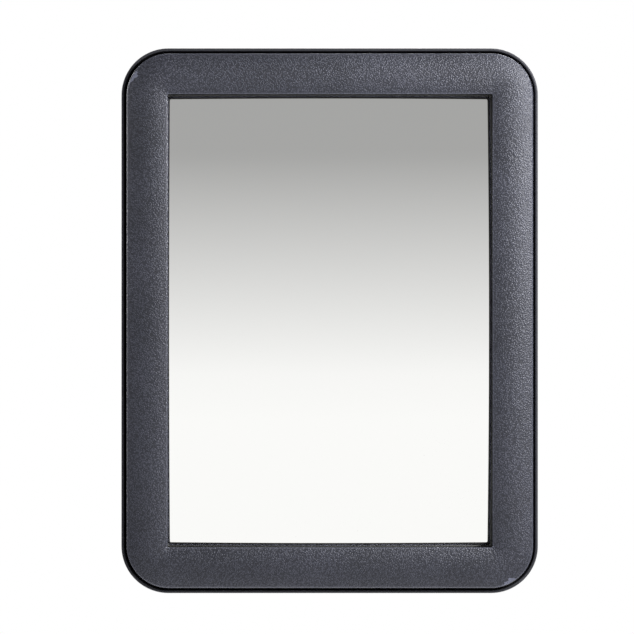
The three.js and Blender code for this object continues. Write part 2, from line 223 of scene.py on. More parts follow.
CROWN_RISE = 1.0 * MM
FRAME_WIDTH = 16 * MM
FACE_Y = bezel_low.y + CROWN_RISE
WINDOW_X = bezel_high.x - FRAME_WIDTH
WINDOW_Z = bezel_high.z - FRAME_WIDTH
WINDOW_CORNER = 0.5 * MM
print(f"window {2 * WINDOW_X / MM:.1f} by {2 * WINDOW_Z / MM:.1f} mm, edge y {FACE_Y / MM:.1f} mm")

# %% [markdown]
# ## Drawing a section and carrying it round the frame
#
# A frame member is one section all the way round: straight runs joined by quarter turns. The
# shape could be made from a block with bevels, but then the crown and the inner wall would be
# hard to keep even. It is quicker and truer to draw the section point by point, by extruding a
# single vertex, and then to carry it: extrude up the side, spin a quarter turn, and so on.

# %% Drawing a wire by extruding one vertex
def draw_wire(points, closed):
    """Leaves edit mode on, with a wire through these (x, y, z) points selected."""
    deselect_all()
    bpy.ops.mesh.primitive_plane_add(size=MM, enter_editmode=True, location=(0, 0, 0))
    bpy.ops.mesh.select_mode(type="VERT")
    bpy.ops.mesh.merge(type="CENTER")
    bpy.ops.transform.translate(value=points[0])
    for here, there in zip(points, points[1:]):
        step = Vector(there) - Vector(here)
        bpy.ops.mesh.extrude_region_move(TRANSFORM_OT_translate={"value": step})
    if closed:
        ends = (Vector(points[0]), Vector(points[-1]))
        pick("VERT", lambda v: min((v.co - end).length for end in ends) < TINY / 10)
        bpy.ops.mesh.edge_face_add()
    bpy.ops.mesh.select_all(action="SELECT")
    return bpy.context.edit_object


def arc(centre, radius, start, stop, steps):
    """Points of a section's arc. Angles are in degrees from the offset axis towards the depth."""
    turns = [math.radians(start + (stop - start) * i / steps) for i in range(steps + 1)]
    return [(centre[0] + radius * math.cos(t), centre[1] + radius * math.sin(t)) for t in turns]


# %% Carrying it up each side and round each corner
def carry_round(section, half_x, half_z, corner, closed=True, corner_steps=16, run_steps=1):
    """A ring from a section of (offset, depth) points. Offset 0 lies half_x and half_z out,
    where the corners have the radius corner."""
    straight_x = 2 * (half_x - corner)
    straight_z = 2 * (half_z - corner)
    start = -straight_z / 2
    ring = draw_wire(
        [(half_x + offset, FACE_Y + depth, start) for offset, depth in section], closed)
    legs = [
        ((0, 0, straight_z), (1, 1)),
        ((-straight_x, 0, 0), (-1, 1)),
        ((0, 0, -straight_z), (-1, -1)),
        ((straight_x, 0, 0), (1, -1)),
    ]
    for run, (side, level) in legs:
        for _ in range(run_steps):
            bpy.ops.mesh.extrude_region_move(
                TRANSFORM_OT_translate={"value": Vector(run) / run_steps})
        bpy.ops.mesh.spin(
            steps=corner_steps, angle=QUARTER, axis=(0, 1, 0),
            center=(side * straight_x / 2, 0, level * straight_z / 2))
    close_mesh()
    return ring


# %% Turning a profile and making round and rounded blanks
def turn_profile(profile, steps=48):
    """Spins a profile of (radius, y) points round the Y axis into a closed solid."""
    turned = draw_wire([(radius, y, 0) for radius, y in profile], closed=False)
    bpy.ops.mesh.spin(steps=steps, angle=4 * QUARTER, center=(0, 0, 0), axis=(0, 1, 0))
    close_mesh()
    return turned


def round_blank(radius, length, centre, turn, sides):
    """A cylinder round this centre, along Z unless it is turned."""
    deselect_all()
    bpy.ops.mesh.primitive_cylinder_add(
        vertices=sides, radius=radius, depth=length, location=centre, rotation=turn)
    settle()
    return bpy.context.object


def bar(radius, y_from, y_to, x=0.0, z=0.0, sides=32):
    """A round blank along Y."""
    return round_blank(
        radius, y_to - y_from, (x, (y_from + y_to) / 2, z), (QUARTER, 0, 0), sides)


def block(low, high, corner=0.0, corner_steps=8):
    """A box between two corners. Its four edges along Y can be rounded."""
    low, high = Vector(low), Vector(high)
    deselect_all()
    bpy.ops.mesh.primitive_cube_add(size=1, location=(low + high) / 2, scale=high - low)
    settle()
    blank = bpy.context.object
    if corner:
        edit(blank)
        pick("EDGE", lambda edge: runs_along(edge, 1))
        bpy.ops.mesh.bevel(offset=corner, segments=corner_steps, affect="EDGES")
        leave_edit()
    return blank


def joined(blanks):
    """Several separate blanks as one object, to cut or join with in one step."""
    select_only(*blanks)
    bpy.ops.object.join()
    return bpy.context.object


# %% [markdown]
# ## Front bezel
#
# The bezel is an injection moulding: a hollow member with a softly crowned face, a small round
# at the window's edge, a larger one outside, and a wall that drops back to the pane. The two
# rounds meet the crown without a corner, so they start at the crown's own angle. Six bosses on
# webs behind the face take the screws, and a boolean joins them, as the mould does.

# %% The bezel's section
CROWN_ANGLE = 16
INNER_ROUND = 0.5 * MM
OUTER_ROUND = 1 * MM
WINDOW_WALL_END = 3.7 * MM
SIDE_WALL_END = 13 * MM
BEZEL_WALL = 1.8 * MM
FACE_UNDERSIDE = 1.6 * MM

lean = math.radians(CROWN_ANGLE)
crown_chord = FRAME_WIDTH - (INNER_ROUND + OUTER_ROUND) * (1 - math.sin(lean))
crown_radius = crown_chord / 2 / math.sin(lean)
crown_end = crown_radius * (1 - math.cos(lean)) - CROWN_RISE
crown_middle = INNER_ROUND * (1 - math.sin(lean)) + crown_chord / 2

inner_round = arc(
    (INNER_ROUND, crown_end + INNER_ROUND * math.cos(lean)), INNER_ROUND, 180, 270 - CROWN_ANGLE, 5)
crown = arc(
    (crown_middle, crown_radius - CROWN_RISE), crown_radius, 270 - CROWN_ANGLE,
    270 + CROWN_ANGLE, 18)
outer_round = arc(
    (FRAME_WIDTH - OUTER_ROUND, crown_end + OUTER_ROUND * math.cos(lean)),
    OUTER_ROUND, 270 + CROWN_ANGLE, 360, 9)
bezel_section = [(0, WINDOW_WALL_END)] + inner_round + crown[1:] + outer_round[1:] + [
    (FRAME_WIDTH, SIDE_WALL_END),
    (FRAME_WIDTH - BEZEL_WALL, SIDE_WALL_END),
    (FRAME_WIDTH - BEZEL_WALL, FACE_UNDERSIDE + 1 * MM),
    (FRAME_WIDTH - BEZEL_WALL - 1 * MM, FACE_UNDERSIDE),
    (BEZEL_WALL, FACE_UNDERSIDE),
    (BEZEL_WALL, WINDOW_WALL_END),
]
print(f"crown radius {crown_radius / MM:.1f} mm, section of {len(bezel_section)} points")

# %% Bezel: ring, bosses and pilot holes
BOSS_RADIUS = 3.3 * MM
BOSS_END = 13.7 * MM
PILOT_RADIUS = 1.6 * MM
PILOT_FROM = 5.5 * MM
WEB_HALF = 0.8 * MM


def middle_of(node):
    low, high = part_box(node)
    return (low + high) / 2


screw_places = [middle_of(f"case_screw_{i}") for i in range(1, 7)]
bezel = carry_round(bezel_section, WINDOW_X, WINDOW_Z, WINDOW_CORNER, corner_steps=24)
boss_front = FACE_Y + 1 * MM
web_side = bezel_high.x - 1 * MM
web_end = FACE_Y + SIDE_WALL_END - 1 * MM
bosses = joined([bar(BOSS_RADIUS, boss_front, FACE_Y + BOSS_END, p.x, p.z) for p in screw_places])
webs = joined([
    block(
        (min(p.x, math.copysign(web_side, p.x)), boss_front, p.z - WEB_HALF),
        (max(p.x, math.copysign(web_side, p.x)), web_end, p.z + WEB_HALF))
    for p in screw_places])
pilots = joined([
    bar(PILOT_RADIUS, FACE_Y + PILOT_FROM, FACE_Y + BOSS_END + 1 * MM, p.x, p.z, sides=24)
    for p in screw_places])
cut_or_join(bosses, webs, "UNION")
cut_or_join(bezel, bosses, "UNION")
cut_or_join(bezel, pilots, "DIFFERENCE")
print("bezel faces:", len(bezel.data.polygons))

# %% [markdown]
# ## Rear tray
#
# The tray is the second moulding: a dish whose rim shows as a thin line round the bezel, with a
# dark groove between them. Its section is an open wire from the middle of the floor's inside,
# over the rim, to the middle of the outside. Carrying it round leaves two holes in the floor,
# which are filled. Ribs, screw posts and the raised pad for the bracket are joined on, and then
# the screw holes, their counterbores and the hexagonal nut pockets are cut.

# %% The tray's section and its dish
TRAY_CORNER = 18.5 * MM
TRAY_WALL = 1.1 * MM
TRAY_ROUND = 5 * MM
RIM_ROUND = 0.4 * MM
PAD_RISE = 3.5 * MM
rim_depth = tray_low.y - FACE_Y
floor_outside = tray_high.y - FACE_Y - PAD_RISE
floor_inside = floor_outside - 2.4 * MM
inner_tray_round = TRAY_ROUND - TRAY_WALL
floor_middle = -17 * MM

tray_section = (
    [(floor_middle, floor_inside)]
    + arc((-TRAY_ROUND, floor_inside - inner_tray_round), inner_tray_round, 90, 0, 8)
    + arc((RIM_ROUND - TRAY_WALL, rim_depth + RIM_ROUND), RIM_ROUND, 180, 270, 4)
    + arc((-RIM_ROUND, rim_depth + RIM_ROUND), RIM_ROUND, 270, 360, 4)
    + arc((-TRAY_ROUND, floor_outside - TRAY_ROUND), TRAY_ROUND, 0, 90, 10)
    + [(floor_middle, floor_outside)]
)
tray = carry_round(
    tray_section, tray_high.x, tray_high.z, TRAY_CORNER, closed=False, corner_steps=24)
edit(tray)
for depth in (floor_inside, floor_outside):
    level = FACE_Y + depth
    pick("EDGE", lambda edge: edge.is_boundary and abs(middle(edge).y - level) < NEAR)
    bpy.ops.mesh.edge_face_add()
close_mesh()

# %% Tray: ribs, posts and the bracket pad
HEAD_PAD_X = 28 * MM
HEAD_PAD_Z = 31 * MM
HEAD_PAD_CORNER = 6 * MM
RIB_HALF = 1 * MM
RIB_FRONT = 16.6 * MM
POST_RADIUS = 4.4 * MM
POST_FRONT = 14 * MM
into_floor = FACE_Y + floor_inside + 0.5 * MM
rib_front = FACE_Y + RIB_FRONT
upright_ribs = joined([
    block((x - RIB_HALF, rib_front, -84 * MM), (x + RIB_HALF, into_floor, 84 * MM))
    for x in (-45 * MM, 45 * MM)])
level_ribs = joined([
    block((-60 * MM, rib_front, z - RIB_HALF), (60 * MM, into_floor, z + RIB_HALF))
    for z in (-62 * MM, 62 * MM)])
posts = joined([
    bar(POST_RADIUS, FACE_Y + POST_FRONT, into_floor, p.x, p.z) for p in screw_places])
head_pad = block(
    (-HEAD_PAD_X, FACE_Y + floor_outside - 1 * MM, -HEAD_PAD_Z),
    (HEAD_PAD_X, tray_high.y, HEAD_PAD_Z), corner=HEAD_PAD_CORNER, corner_steps=10)
edit(head_pad)
pick("EDGE", lambda edge: all(abs(v.co.y - tray_high.y) < NEAR for v in edge.verts))
bpy.ops.mesh.bevel(offset=0.6 * MM, segments=3, affect="EDGES")
leave_edit()
for addition in (upright_ribs, level_ribs, posts, head_pad):
    cut_or_join(tray, addition, "UNION")

# %% Tray: screw holes, counterbores and nut pockets
nut_places = [middle_of(f"captive_nut_{i}") for i in range(1, 5)]
nut_low, nut_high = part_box("captive_nut_1")
SCREW_HOLE = 1.7 * MM
BRACKET_SCREW_HOLE = 2.3 * MM
COUNTERBORE = 3.5 * MM
HEXAGON_SIDES = 6
pocket_radius = (nut_high.x - nut_low.x) / 2 / math.cos(math.radians(30)) + 0.35 * MM
before_posts = FACE_Y + POST_FRONT - 1 * MM
past_back = tray_high.y + 2 * MM
counterbore_floor = FACE_Y + floor_outside - 2.8 * MM
pocket_end = nut_high.y + 0.3 * MM
holes = joined(
    [bar(SCREW_HOLE, before_posts, past_back, p.x, p.z, sides=24) for p in screw_places]
    + [bar(BRACKET_SCREW_HOLE, before_posts, past_back, p.x, p.z) for p in nut_places])
wide_holes = joined(
    [bar(COUNTERBORE, counterbore_floor, past_back, p.x, p.z, sides=40) for p in screw_places]
    + [bar(pocket_radius, before_posts, pocket_end, p.x, p.z, HEXAGON_SIDES)
       for p in nut_places])
cut_or_join(tray, wide_holes, "DIFFERENCE")
cut_or_join(tray, holes, "DIFFERENCE")
print("tray faces:", len(tray.data.polygons))

# %% [markdown]
# ## Mirror pane
#
# The pane is float glass sagged over a dome: a piece of a sphere of 1.8 m radius, 3 mm thick,
# silvered behind. A flat grid laid at the front's apex becomes that sphere exactly with a Cast
# modifier, as long as the grid's origin is the sphere's centre. Solidify gives it thickness
# towards the centre, and a fine bevel stands for the ground edge.

# %% A sheet cast onto a sphere
PANE_RADIUS = 1800 * MM
PANE_THICK = 3 * MM
pane_centre = Vector((0, pane_low.y + PANE_RADIUS, 0))


def origin_to_sphere_centre():
    bpy.context.scene.cursor.location = pane_centre
    bpy.ops.object.origin_set(type="ORIGIN_CURSOR")


def flat_grid(low, high, columns, rows):
    """A grid in the plane of the box's front, with its origin on the spheres' centre."""
    deselect_all()
    bpy.ops.mesh.primitive_grid_add(
        x_subdivisions=columns, y_subdivisions=rows, size=1, location=(0, low.y, 0),
        rotation=(QUARTER, 0, 0))
    sheet = bpy.context.object
    sheet.scale = (high.x - low.x, high.z - low.z, 1)
    bpy.ops.object.transform_apply(location=False, rotation=True, scale=True)
    origin_to_sphere_centre()
    return sheet


def cast_points(piece, radius, chosen):
    """Casts the points that pass the test onto a sphere round the shared centre."""
    select_only(piece)
    origin_to_sphere_centre()
    group = piece.vertex_groups.new(name="cast")
    group.add(
        [v.index for v in piece.data.vertices if chosen(v.co + pane_centre)], 1.0, "REPLACE")
    apply_modifier(
        piece, "CAST", cast_type="SPHERE", factor=1.0, use_radius_as_size=False, size=radius,
        vertex_group="cast")
    settle()


def round_corners(piece, half_x, half_z, corner):
    """Rounds the four edges along Y that lie outside half_x and half_z."""
    edit(piece)
    pick("EDGE", lambda edge: runs_along(edge, 1) and abs(middle(edge).x) > half_x
         and abs(middle(edge).z) > half_z)
    bpy.ops.mesh.bevel(offset=corner, segments=6, affect="EDGES")
    leave_edit()


# %% Pane: grid, thickness, corners, both faces cast, and the ground edge
pane = flat_grid(pane_low, pane_high, 48, 66)
cast_points(pane, PANE_RADIUS, lambda spot: True)
apply_modifier(pane, "SOLIDIFY", thickness=PANE_THICK, offset=-1.0)
PANE_CORNER = 3 * MM
round_corners(pane, pane_high.x - 0.5 * MM, pane_high.z - 0.6 * MM, PANE_CORNER)
soften_edges(pane, 0.35 * MM, 2, sharper_than=60)
print("pane:", len(pane.data.polygons), "faces, front at", min(v.co.y for v in pane.data.vertices))

# %% [markdown]
# ## Gasket
#
# A black rubber ring fills the space between the bezel's flat wall and the domed pane. Its front
# is flat, and its seat follows the glass, so it is thin at mid side and thick in the corners.
# The ring is carried round like the bezel, in shorter runs, and the seat's points are cast onto
# the pane's sphere, a little in front of the glass.

# %% Gasket: L-shaped ring with a cast seat
GASKET_FRONT = 4 * MM
GASKET_LIP = 0.4 * MM
CLEARANCE = 0.3 * MM
SEAT_STEPS = 5
_, gasket_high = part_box("pane_gasket")
gasket_out = gasket_high.x - WINDOW_X
gasket_back = gasket_high.y - FACE_Y
pane_side = pane_high.x - WINDOW_X + CLEARANCE
seat_depth = GASKET_FRONT + 1 * MM
seat_points = [
    (pane_side + (GASKET_LIP - pane_side) * i / SEAT_STEPS, seat_depth)
    for i in range(SEAT_STEPS + 1)]
gasket = carry_round(
    [(GASKET_LIP, GASKET_FRONT), (gasket_out, GASKET_FRONT), (gasket_out, gasket_back),
     (pane_side, gasket_back)] + seat_points,
    WINDOW_X, WINDOW_Z, WINDOW_CORNER, corner_steps=8, run_steps=16)
cast_points(
    gasket, PANE_RADIUS + CLEARANCE, lambda spot: abs(spot.y - FACE_Y - seat_depth) < NEAR)
print("gasket faces:", len(gasket.data.polygons))

# %% [markdown]
# ## What backs the pane
#
# A die-cut foam pad presses the pane against its gasket, and a hardboard panel behind it takes
# the load of the tray's ribs. Both are cut from sheet. The foam's front takes the dome of the
# glass, so it is a grid like the pane, thickened to a flat back, with only its front cast. The
# board is a block with round corners and softened edges.

# %% Foam pad and hardboard panel
pad_low, pad_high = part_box("backing_pad")
foam_pad = flat_grid(pad_low, pad_high, 24, 32)
apply_modifier(foam_pad, "SOLIDIFY", thickness=pad_high.y - pad_low.y, offset=-1.0)
settle()
round_corners(foam_pad, pad_high.x - 0.5 * MM, pad_high.z - 0.5 * MM, 4 * MM)
cast_points(
    foam_pad, PANE_RADIUS - PANE_THICK - CLEARANCE,
    lambda spot: abs(spot.y - pad_low.y) < NEAR)
soften_edges(foam_pad, 0.5 * MM, 2, sharper_than=50)
board_low, board_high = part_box("backing_board")
board = block(board_low, board_high, 2 * MM, 6)
soften_edges(board, 0.25 * MM, 2, sharper_than=50)
print("pad faces:", len(foam_pad.data.polygons), "board faces:", len(board.data.polygons))

# %% [markdown]
# ## Screws and nuts
#
# The pan-head screws are turned from one profile and get a cross recess. The threads are cut as
# rings rather than a helix: they sit inside the plastic, and the rings keep the mesh light. One
# screw of each size is modelled and then copied to its places, each copy with its own mesh.

# %% One pan-head screw, its seat at y = 0 and its head towards +Y
def pan_screw(shank, length, head, head_height, pitch):
    """Radii of shank and head, the two lengths along Y, and the thread's pitch."""
    root = shank * 0.78
    threads = int((length - 2 * MM) / pitch)
    profile = [(0, -length), (root * 0.4, -length + 0.4 * MM), (root, -length + 1.4 * MM)]
    for i in range(threads):
        foot = -length + 1.5 * MM + i * pitch
        profile += [(root, foot), (shank, foot + 0.45 * pitch), (shank, foot + 0.55 * pitch)]
    profile += [(root, 0), (head - 0.15 * MM, 0), (head, 0.12 * MM), (head, 0.4 * head_height)]
    dome_steps = 8
    for turn in [QUARTER * i / dome_steps for i in range(1, dome_steps + 1)]:
        profile.append((head * math.cos(turn), head_height * (0.4 + 0.6 * math.sin(turn))))
    profile[-1] = (0, head_height)
    screw = turn_profile(profile, steps=40)
    half_arm = head * 0.14
    reach = head * 0.56
    floor = head_height * 0.38
    taper = 0.62
    arms = block((-half_arm, floor, -reach), (half_arm, head_height * 2, reach))
    other = block((-reach, floor, -half_arm), (reach, head_height * 2, half_arm))
    cut_or_join(arms, other, "UNION")
    edit(arms)
    pick("FACE", lambda face: face.normal.y < -0.9)
    bpy.ops.transform.resize(value=(taper, 1, taper))
    leave_edit()
    cut_or_join(screw, arms, "DIFFERENCE")
    return screw


# %% One hexagonal nut with chamfered corners, from y = 0
def hex_nut(across_flats, height, bore):
    corner_radius = across_flats / 2 / math.cos(math.radians(30))
    nut = bar(corner_radius, -0.5 * MM, height + 0.5 * MM, sides=HEXAGON_SIDES)
    chamfer = 0.5 * MM
    blank = turn_profile([
        (0, 0), (across_flats / 2 - 0.1 * MM, 0), (corner_radius + 0.1 * MM, chamfer),
        (corner_radius + 0.1 * MM, height - chamfer), (across_flats / 2 - 0.1 * MM, height),
        (0, height)], steps=50)
    cut_or_join(nut, blank, "INTERSECT")
    drill = turn_profile([
        (0, -1 * MM), (bore + 1.3 * MM, -1 * MM), (bore, 0.3 * MM), (bore, height - 0.3 * MM),
        (bore + 1.3 * MM, height + 1 * MM), (0, height + 1 * MM)], steps=40)
    cut_or_join(nut, drill, "DIFFERENCE")
    return nut


case_screw = pan_screw(
    shank=1.25 * MM, length=12 * MM, head=2.9 * MM, head_height=2.1 * MM, pitch=1.1 * MM)
bracket_screw = pan_screw(
    shank=1.95 * MM, length=11 * MM, head=3.9 * MM, head_height=2.5 * MM, pitch=0.7 * MM)
captive_nut = hex_nut(across_flats=7 * MM, height=3 * MM, bore=2.3 * MM)
print("screw faces:", len(case_screw.data.polygons), "nut faces:", len(captive_nut.data.polygons))

# %% [markdown]
# ## Bracket plates with ears
#
# The head bracket and the wall bracket are small castings: a plate with two ears that hold a
# pivot. Both are built the same way, as a box whose front is divided by bisecting planes. The
# two patches between the planes are extruded into ears. A wide bevel rounds each ear's end, a
# small one fillets its root, and a last fine bevel breaks every edge.

# %% A plate with two ears, built lying in XZ with the ears towards +Y
EAR_INNER = 8.6 * MM
EAR_THICK = 3.5 * MM
EAR_RADIUS = 9.5 * MM
EAR_OUTER = EAR_INNER + EAR_THICK
PLATE_THICK = 3 * MM
PIVOT_BORE = 3.3 * MM
SQUARE_HALF = 3.4 * MM


def eared_plate(half_x, half_z, corner, ear_reach, holes, hole_radius, sink=0.0):
    """The plate spans y = -PLATE_THICK to 0, and the ears' pivot lies along X, ear_reach in
    front of it."""
    plate = block((-half_x, -PLATE_THICK, -half_z), (half_x, 0, half_z), corner, 10)
    edit(plate)
    for across in (-EAR_OUTER, -EAR_INNER, EAR_INNER, EAR_OUTER):
        bpy.ops.mesh.select_all(action="SELECT")
        bpy.ops.mesh.bisect(plane_co=(across, 0, 0), plane_no=(1, 0, 0))
    for level in (-EAR_RADIUS, EAR_RADIUS):
        bpy.ops.mesh.select_all(action="SELECT")
        bpy.ops.mesh.bisect(plane_co=(0, 0, level), plane_no=(0, 0, 1))

    def is_foot(face):
        spot = face.calc_center_median()
        between = EAR_INNER < abs(spot.x) < EAR_OUTER
        return face.normal.y > 0.9 and between and abs(spot.z) < EAR_RADIUS

    feet = pick("FACE", is_foot)
    bpy.ops.mesh.extrude_region_move(
        TRANSFORM_OT_translate={"value": (0, ear_reach + EAR_RADIUS, 0)})
    tip = ear_reach + EAR_RADIUS
    pick("EDGE", lambda edge: runs_along(edge, 0) and middle(edge).y > tip - NEAR)
    bpy.ops.mesh.bevel(offset=EAR_RADIUS - 2 * NEAR, segments=14, affect="EDGES")

    def is_root(edge):
        spot = middle(edge)
        by_ear = EAR_INNER - NEAR < abs(spot.x) < EAR_OUTER + NEAR
        return abs(spot.y) < NEAR and by_ear and abs(spot.z) < EAR_RADIUS + NEAR

    pick("EDGE", is_root)
    bpy.ops.mesh.bevel(offset=1.2 * MM, segments=4, affect="EDGES")
    leave_edit()

    past_ear = 30 * MM
    bore = round_blank(PIVOT_BORE, past_ear, (past_ear / 2, ear_reach, 0), (0, QUARTER, 0), 48)
    cut_or_join(plate, bore, "DIFFERENCE")
    square = block(
        (-past_ear, ear_reach - SQUARE_HALF, -SQUARE_HALF),
        (0, ear_reach + SQUARE_HALF, SQUARE_HALF))
    cut_or_join(plate, square, "DIFFERENCE")
    for x, z in holes:
        drill = turn_profile([
            (0, -PLATE_THICK - 1 * MM), (hole_radius, -PLATE_THICK - 1 * MM), (hole_radius, -sink),
            (hole_radius + sink + 1 * MM * bool(sink), 1 * MM), (0, 1 * MM)], steps=32)
        place(drill, (x, 0, z))
        cut_or_join(plate, drill, "DIFFERENCE")
    soften_edges(plate, 0.35 * MM, 3, sharper_than=50)
    print("ears:", feet, "faces:", len(plate.data.polygons))
    return plate


# %% Head bracket and wall bracket, turned to their places
tilt_centre = middle_of("tilt_friction_washer_left")
tilt_centre.x = 0
pan_centre = middle_of("pan_friction_washer_upper")
pan_centre.z = 0
head_bracket_low, head_bracket_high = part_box("head_bracket")
_, wall_bracket_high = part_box("wall_bracket")

head_plate_face = head_bracket_low.y + PLATE_THICK
head_bracket = eared_plate(
    head_bracket_high.x, head_bracket_high.z, 6 * MM, tilt_centre.y - head_plate_face,
    [(p.x, p.z) for p in nut_places], BRACKET_SCREW_HOLE)
place(head_bracket, (0, head_plate_face, 0))

wall_holes = [(z, x) for x in (-16 * MM, 16 * MM) for z in (-27 * MM, 27 * MM)]
wall_bracket = eared_plate(
    wall_bracket_high.z, wall_bracket_high.x, 8 * MM, -PLATE_THICK - pan_centre.y,
    wall_holes, 2.4 * MM, sink=2.1 * MM)
wall_bracket.rotation_euler = (0, QUARTER, 2 * QUARTER)
place(wall_bracket, (0, -PLATE_THICK, 0))

# %% [markdown]
# ## Swivel arm
#
# The arm is one casting: an upright eye on the wall side, a level eye on the mirror side and a
# neck between them. Joining three blanks leaves hard creases where the real one has cast
# fillets. So the joined shape is remeshed into small even faces and smoothed, which blends the
# creases, and the bores and eye faces are cut afterwards, as they are on the real casting.

# %% Arm: blanks, remesh, smoothing, then machined faces
EYE_RADIUS = 9 * MM
EYE_HALF = 7 * MM
EYE_SIDES = 64
NECK_HALF = 5.5 * MM
NECK_WAIST = 0.86
eye_blank_length = 2 * EYE_HALF + 2 * MM
level_turn = (0, QUARTER, 0)
arm = round_blank(EYE_RADIUS, eye_blank_length, pan_centre, (0, 0, 0), EYE_SIDES)
other_eye = round_blank(EYE_RADIUS, eye_blank_length, tilt_centre, level_turn, EYE_SIDES)
cut_or_join(arm, other_eye, "UNION")
neck = block(
    (-NECK_HALF, tilt_centre.y, -NECK_HALF), (NECK_HALF, pan_centre.y, NECK_HALF),
    corner=0.5 * MM, corner_steps=2)
edit(neck)
neck_middle = (tilt_centre.y + pan_centre.y) / 2
bpy.ops.mesh.select_all(action="SELECT")
bpy.ops.mesh.bisect(plane_co=(0, neck_middle, 0), plane_no=(0, 1, 0))
pick("VERT", lambda v: abs(v.co.y - neck_middle) < NEAR)
bpy.ops.transform.resize(value=(NECK_WAIST, 1, NECK_WAIST))
leave_edit()
cut_or_join(arm, neck, "UNION")
apply_modifier(arm, "REMESH", mode="VOXEL", voxel_size=0.45 * MM)
apply_modifier(arm, "SMOOTH", factor=0.5, iterations=14)
apply_modifier(arm, "SUBSURF", levels=1, render_levels=1)
for centre, axis in ((pan_centre, 2), (tilt_centre, 0)):
    for side in (-1, 1):
        size = Vector((30 * MM, 30 * MM, 30 * MM))
        size[axis] = 10 * MM
        offset = Vector((0, 0, 0))
        offset[axis] = side * (EYE_HALF + 5 * MM)
        facing = block(centre + offset - size / 2, centre + offset + size / 2)
        cut_or_join(arm, facing, "DIFFERENCE")
for centre, turn in ((pan_centre, (0, 0, 0)), (tilt_centre, level_turn)):
    cut_or_join(arm, round_blank(PIVOT_BORE, 40 * MM, centre, turn, EYE_SIDES), "DIFFERENCE")
print("arm faces:", len(arm.data.polygons))

# %% [markdown]
# ## Pivot hardware
#
# Each pivot clamps the arm's eye between two ears: a domed bolt whose square neck keeps it from
# turning, a nylon friction washer on each side of the eye, then a flat washer, a split spring
# washer and a knob. They are modelled along Y from the middle of the eye, and each is then
# turned onto both pivots. All the stations along the bolt are read from the tilt pivot's nodes.

# %% Stations along a pivot, from the middle of the eye
def stations(node):
    """How far along the tilt pivot the node starts and stops, and its outer radius."""
    low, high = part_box(node)
    return low.x, high.x, (high.y - low.y) / 2


bolt_from, bolt_to, bolt_head = stations("tilt_bolt")
bolt_seat = -EAR_OUTER - 0.3 * MM
washer_from, washer_to, washer_radius = stations("tilt_friction_washer_right")
flat_from, flat_to, flat_radius = stations("tilt_flat_washer")
spring_from, spring_to, spring_radius = stations("tilt_spring_washer")
knob_from, knob_to, knob_radius = stations("tilt_knob")
insert_from, insert_to, insert_radius = stations("tilt_knob_insert")
SHANK = 3 * MM

# %% Bolt: domed head, square neck, threaded end
thread_pitch = 1 * MM
thread_root = SHANK - 0.45 * MM
dome_foot = bolt_seat - 0.7 * MM
dome_height = dome_foot - bolt_from
bolt_profile = [(0, bolt_from)]
DOME_STEPS = 10
for i in range(1, DOME_STEPS):
    turn = QUARTER * i / DOME_STEPS
    bolt_profile.append((bolt_head * math.sin(turn), dome_foot - dome_height * math.cos(turn)))
bolt_profile += [(bolt_head, dome_foot), (bolt_head, bolt_seat - 0.2 * MM)]
bolt_profile += [(bolt_head - 0.2 * MM, bolt_seat), (SHANK, bolt_seat), (SHANK, EAR_OUTER)]
thread_count = int((bolt_to - EAR_OUTER - 1 * MM) / thread_pitch)
for i in range(thread_count):
    crest = EAR_OUTER + (i + 0.5) * thread_pitch
    bolt_profile += [(thread_root, crest), (SHANK, crest + 0.45 * thread_pitch)]
    bolt_profile.append((SHANK, crest + 0.55 * thread_pitch))
bolt_profile += [
    (thread_root, bolt_to - 0.4 * MM), (thread_root - 0.4 * MM, bolt_to), (0, bolt_to)]
bolt = turn_profile(bolt_profile)
square_half = SQUARE_HALF - CLEARANCE
square_neck = block(
    (-square_half, bolt_seat - 0.2 * MM, -square_half),
    (square_half, bolt_seat + 3.2 * MM, square_half), corner=0.3 * MM, corner_steps=2)
cut_or_join(bolt, square_neck, "UNION")


# %% Washers: two rounded rings and a split spring
def ring(bore, outer, start, stop, round_over):
    """A washer whose four edges are rounded."""
    corners = [
        ((outer - round_over, start + round_over), 270),
        ((outer - round_over, stop - round_over), 0),
        ((bore + round_over, stop - round_over), 90),
        ((bore + round_over, start + round_over), 180),
    ]
    section = [
        point for centre, turn in corners for point in arc(centre, round_over, turn, turn + 90, 3)]
    section.append(section[0])
    return turn_profile(section, steps=64)


friction_washer = ring(PIVOT_BORE + 0.1 * MM, washer_radius, washer_from, washer_to, 0.25 * MM)
flat_washer = ring(PIVOT_BORE, flat_radius, flat_from, flat_to, 0.15 * MM)

WIRE_SHARE = 0.62
wire_top = spring_from + (spring_to - spring_from) * WIRE_SHARE
rise = spring_to - wire_top
spring_washer = draw_wire([
    (PIVOT_BORE, spring_from, 0), (spring_radius, spring_from, 0),
    (spring_radius, wire_top, 0), (PIVOT_BORE, wire_top, 0)], closed=True)
bpy.ops.mesh.edge_face_add()
SPRING_STEPS = 48
SPRING_TURN = math.radians(345)
for _ in range(SPRING_STEPS):
    bpy.ops.mesh.spin(
        steps=1, angle=SPRING_TURN / SPRING_STEPS, center=(0, 0, 0), axis=(0, 1, 0))
    bpy.ops.transform.translate(value=(0, rise / SPRING_STEPS, 0))
close_mesh()
soften_edges(spring_washer, 0.12 * MM, 2, sharper_than=50)

# %% [markdown]
# ## Clamping knobs
#
# A star knob is a moulded disc with six hollows for the fingertips, on a round collar, with a
# grooved brass bush moulded in. Cutting six round hollows out of a turned disc gives the same
# lobes as the mould, and a bevel then rounds them. The cuts leave doubled points along the
# hollows and the socket, which are merged before the bevel. The bush is a turned sleeve whose
# outside is cut by a ring of small grooves, and its end shows in the collar.

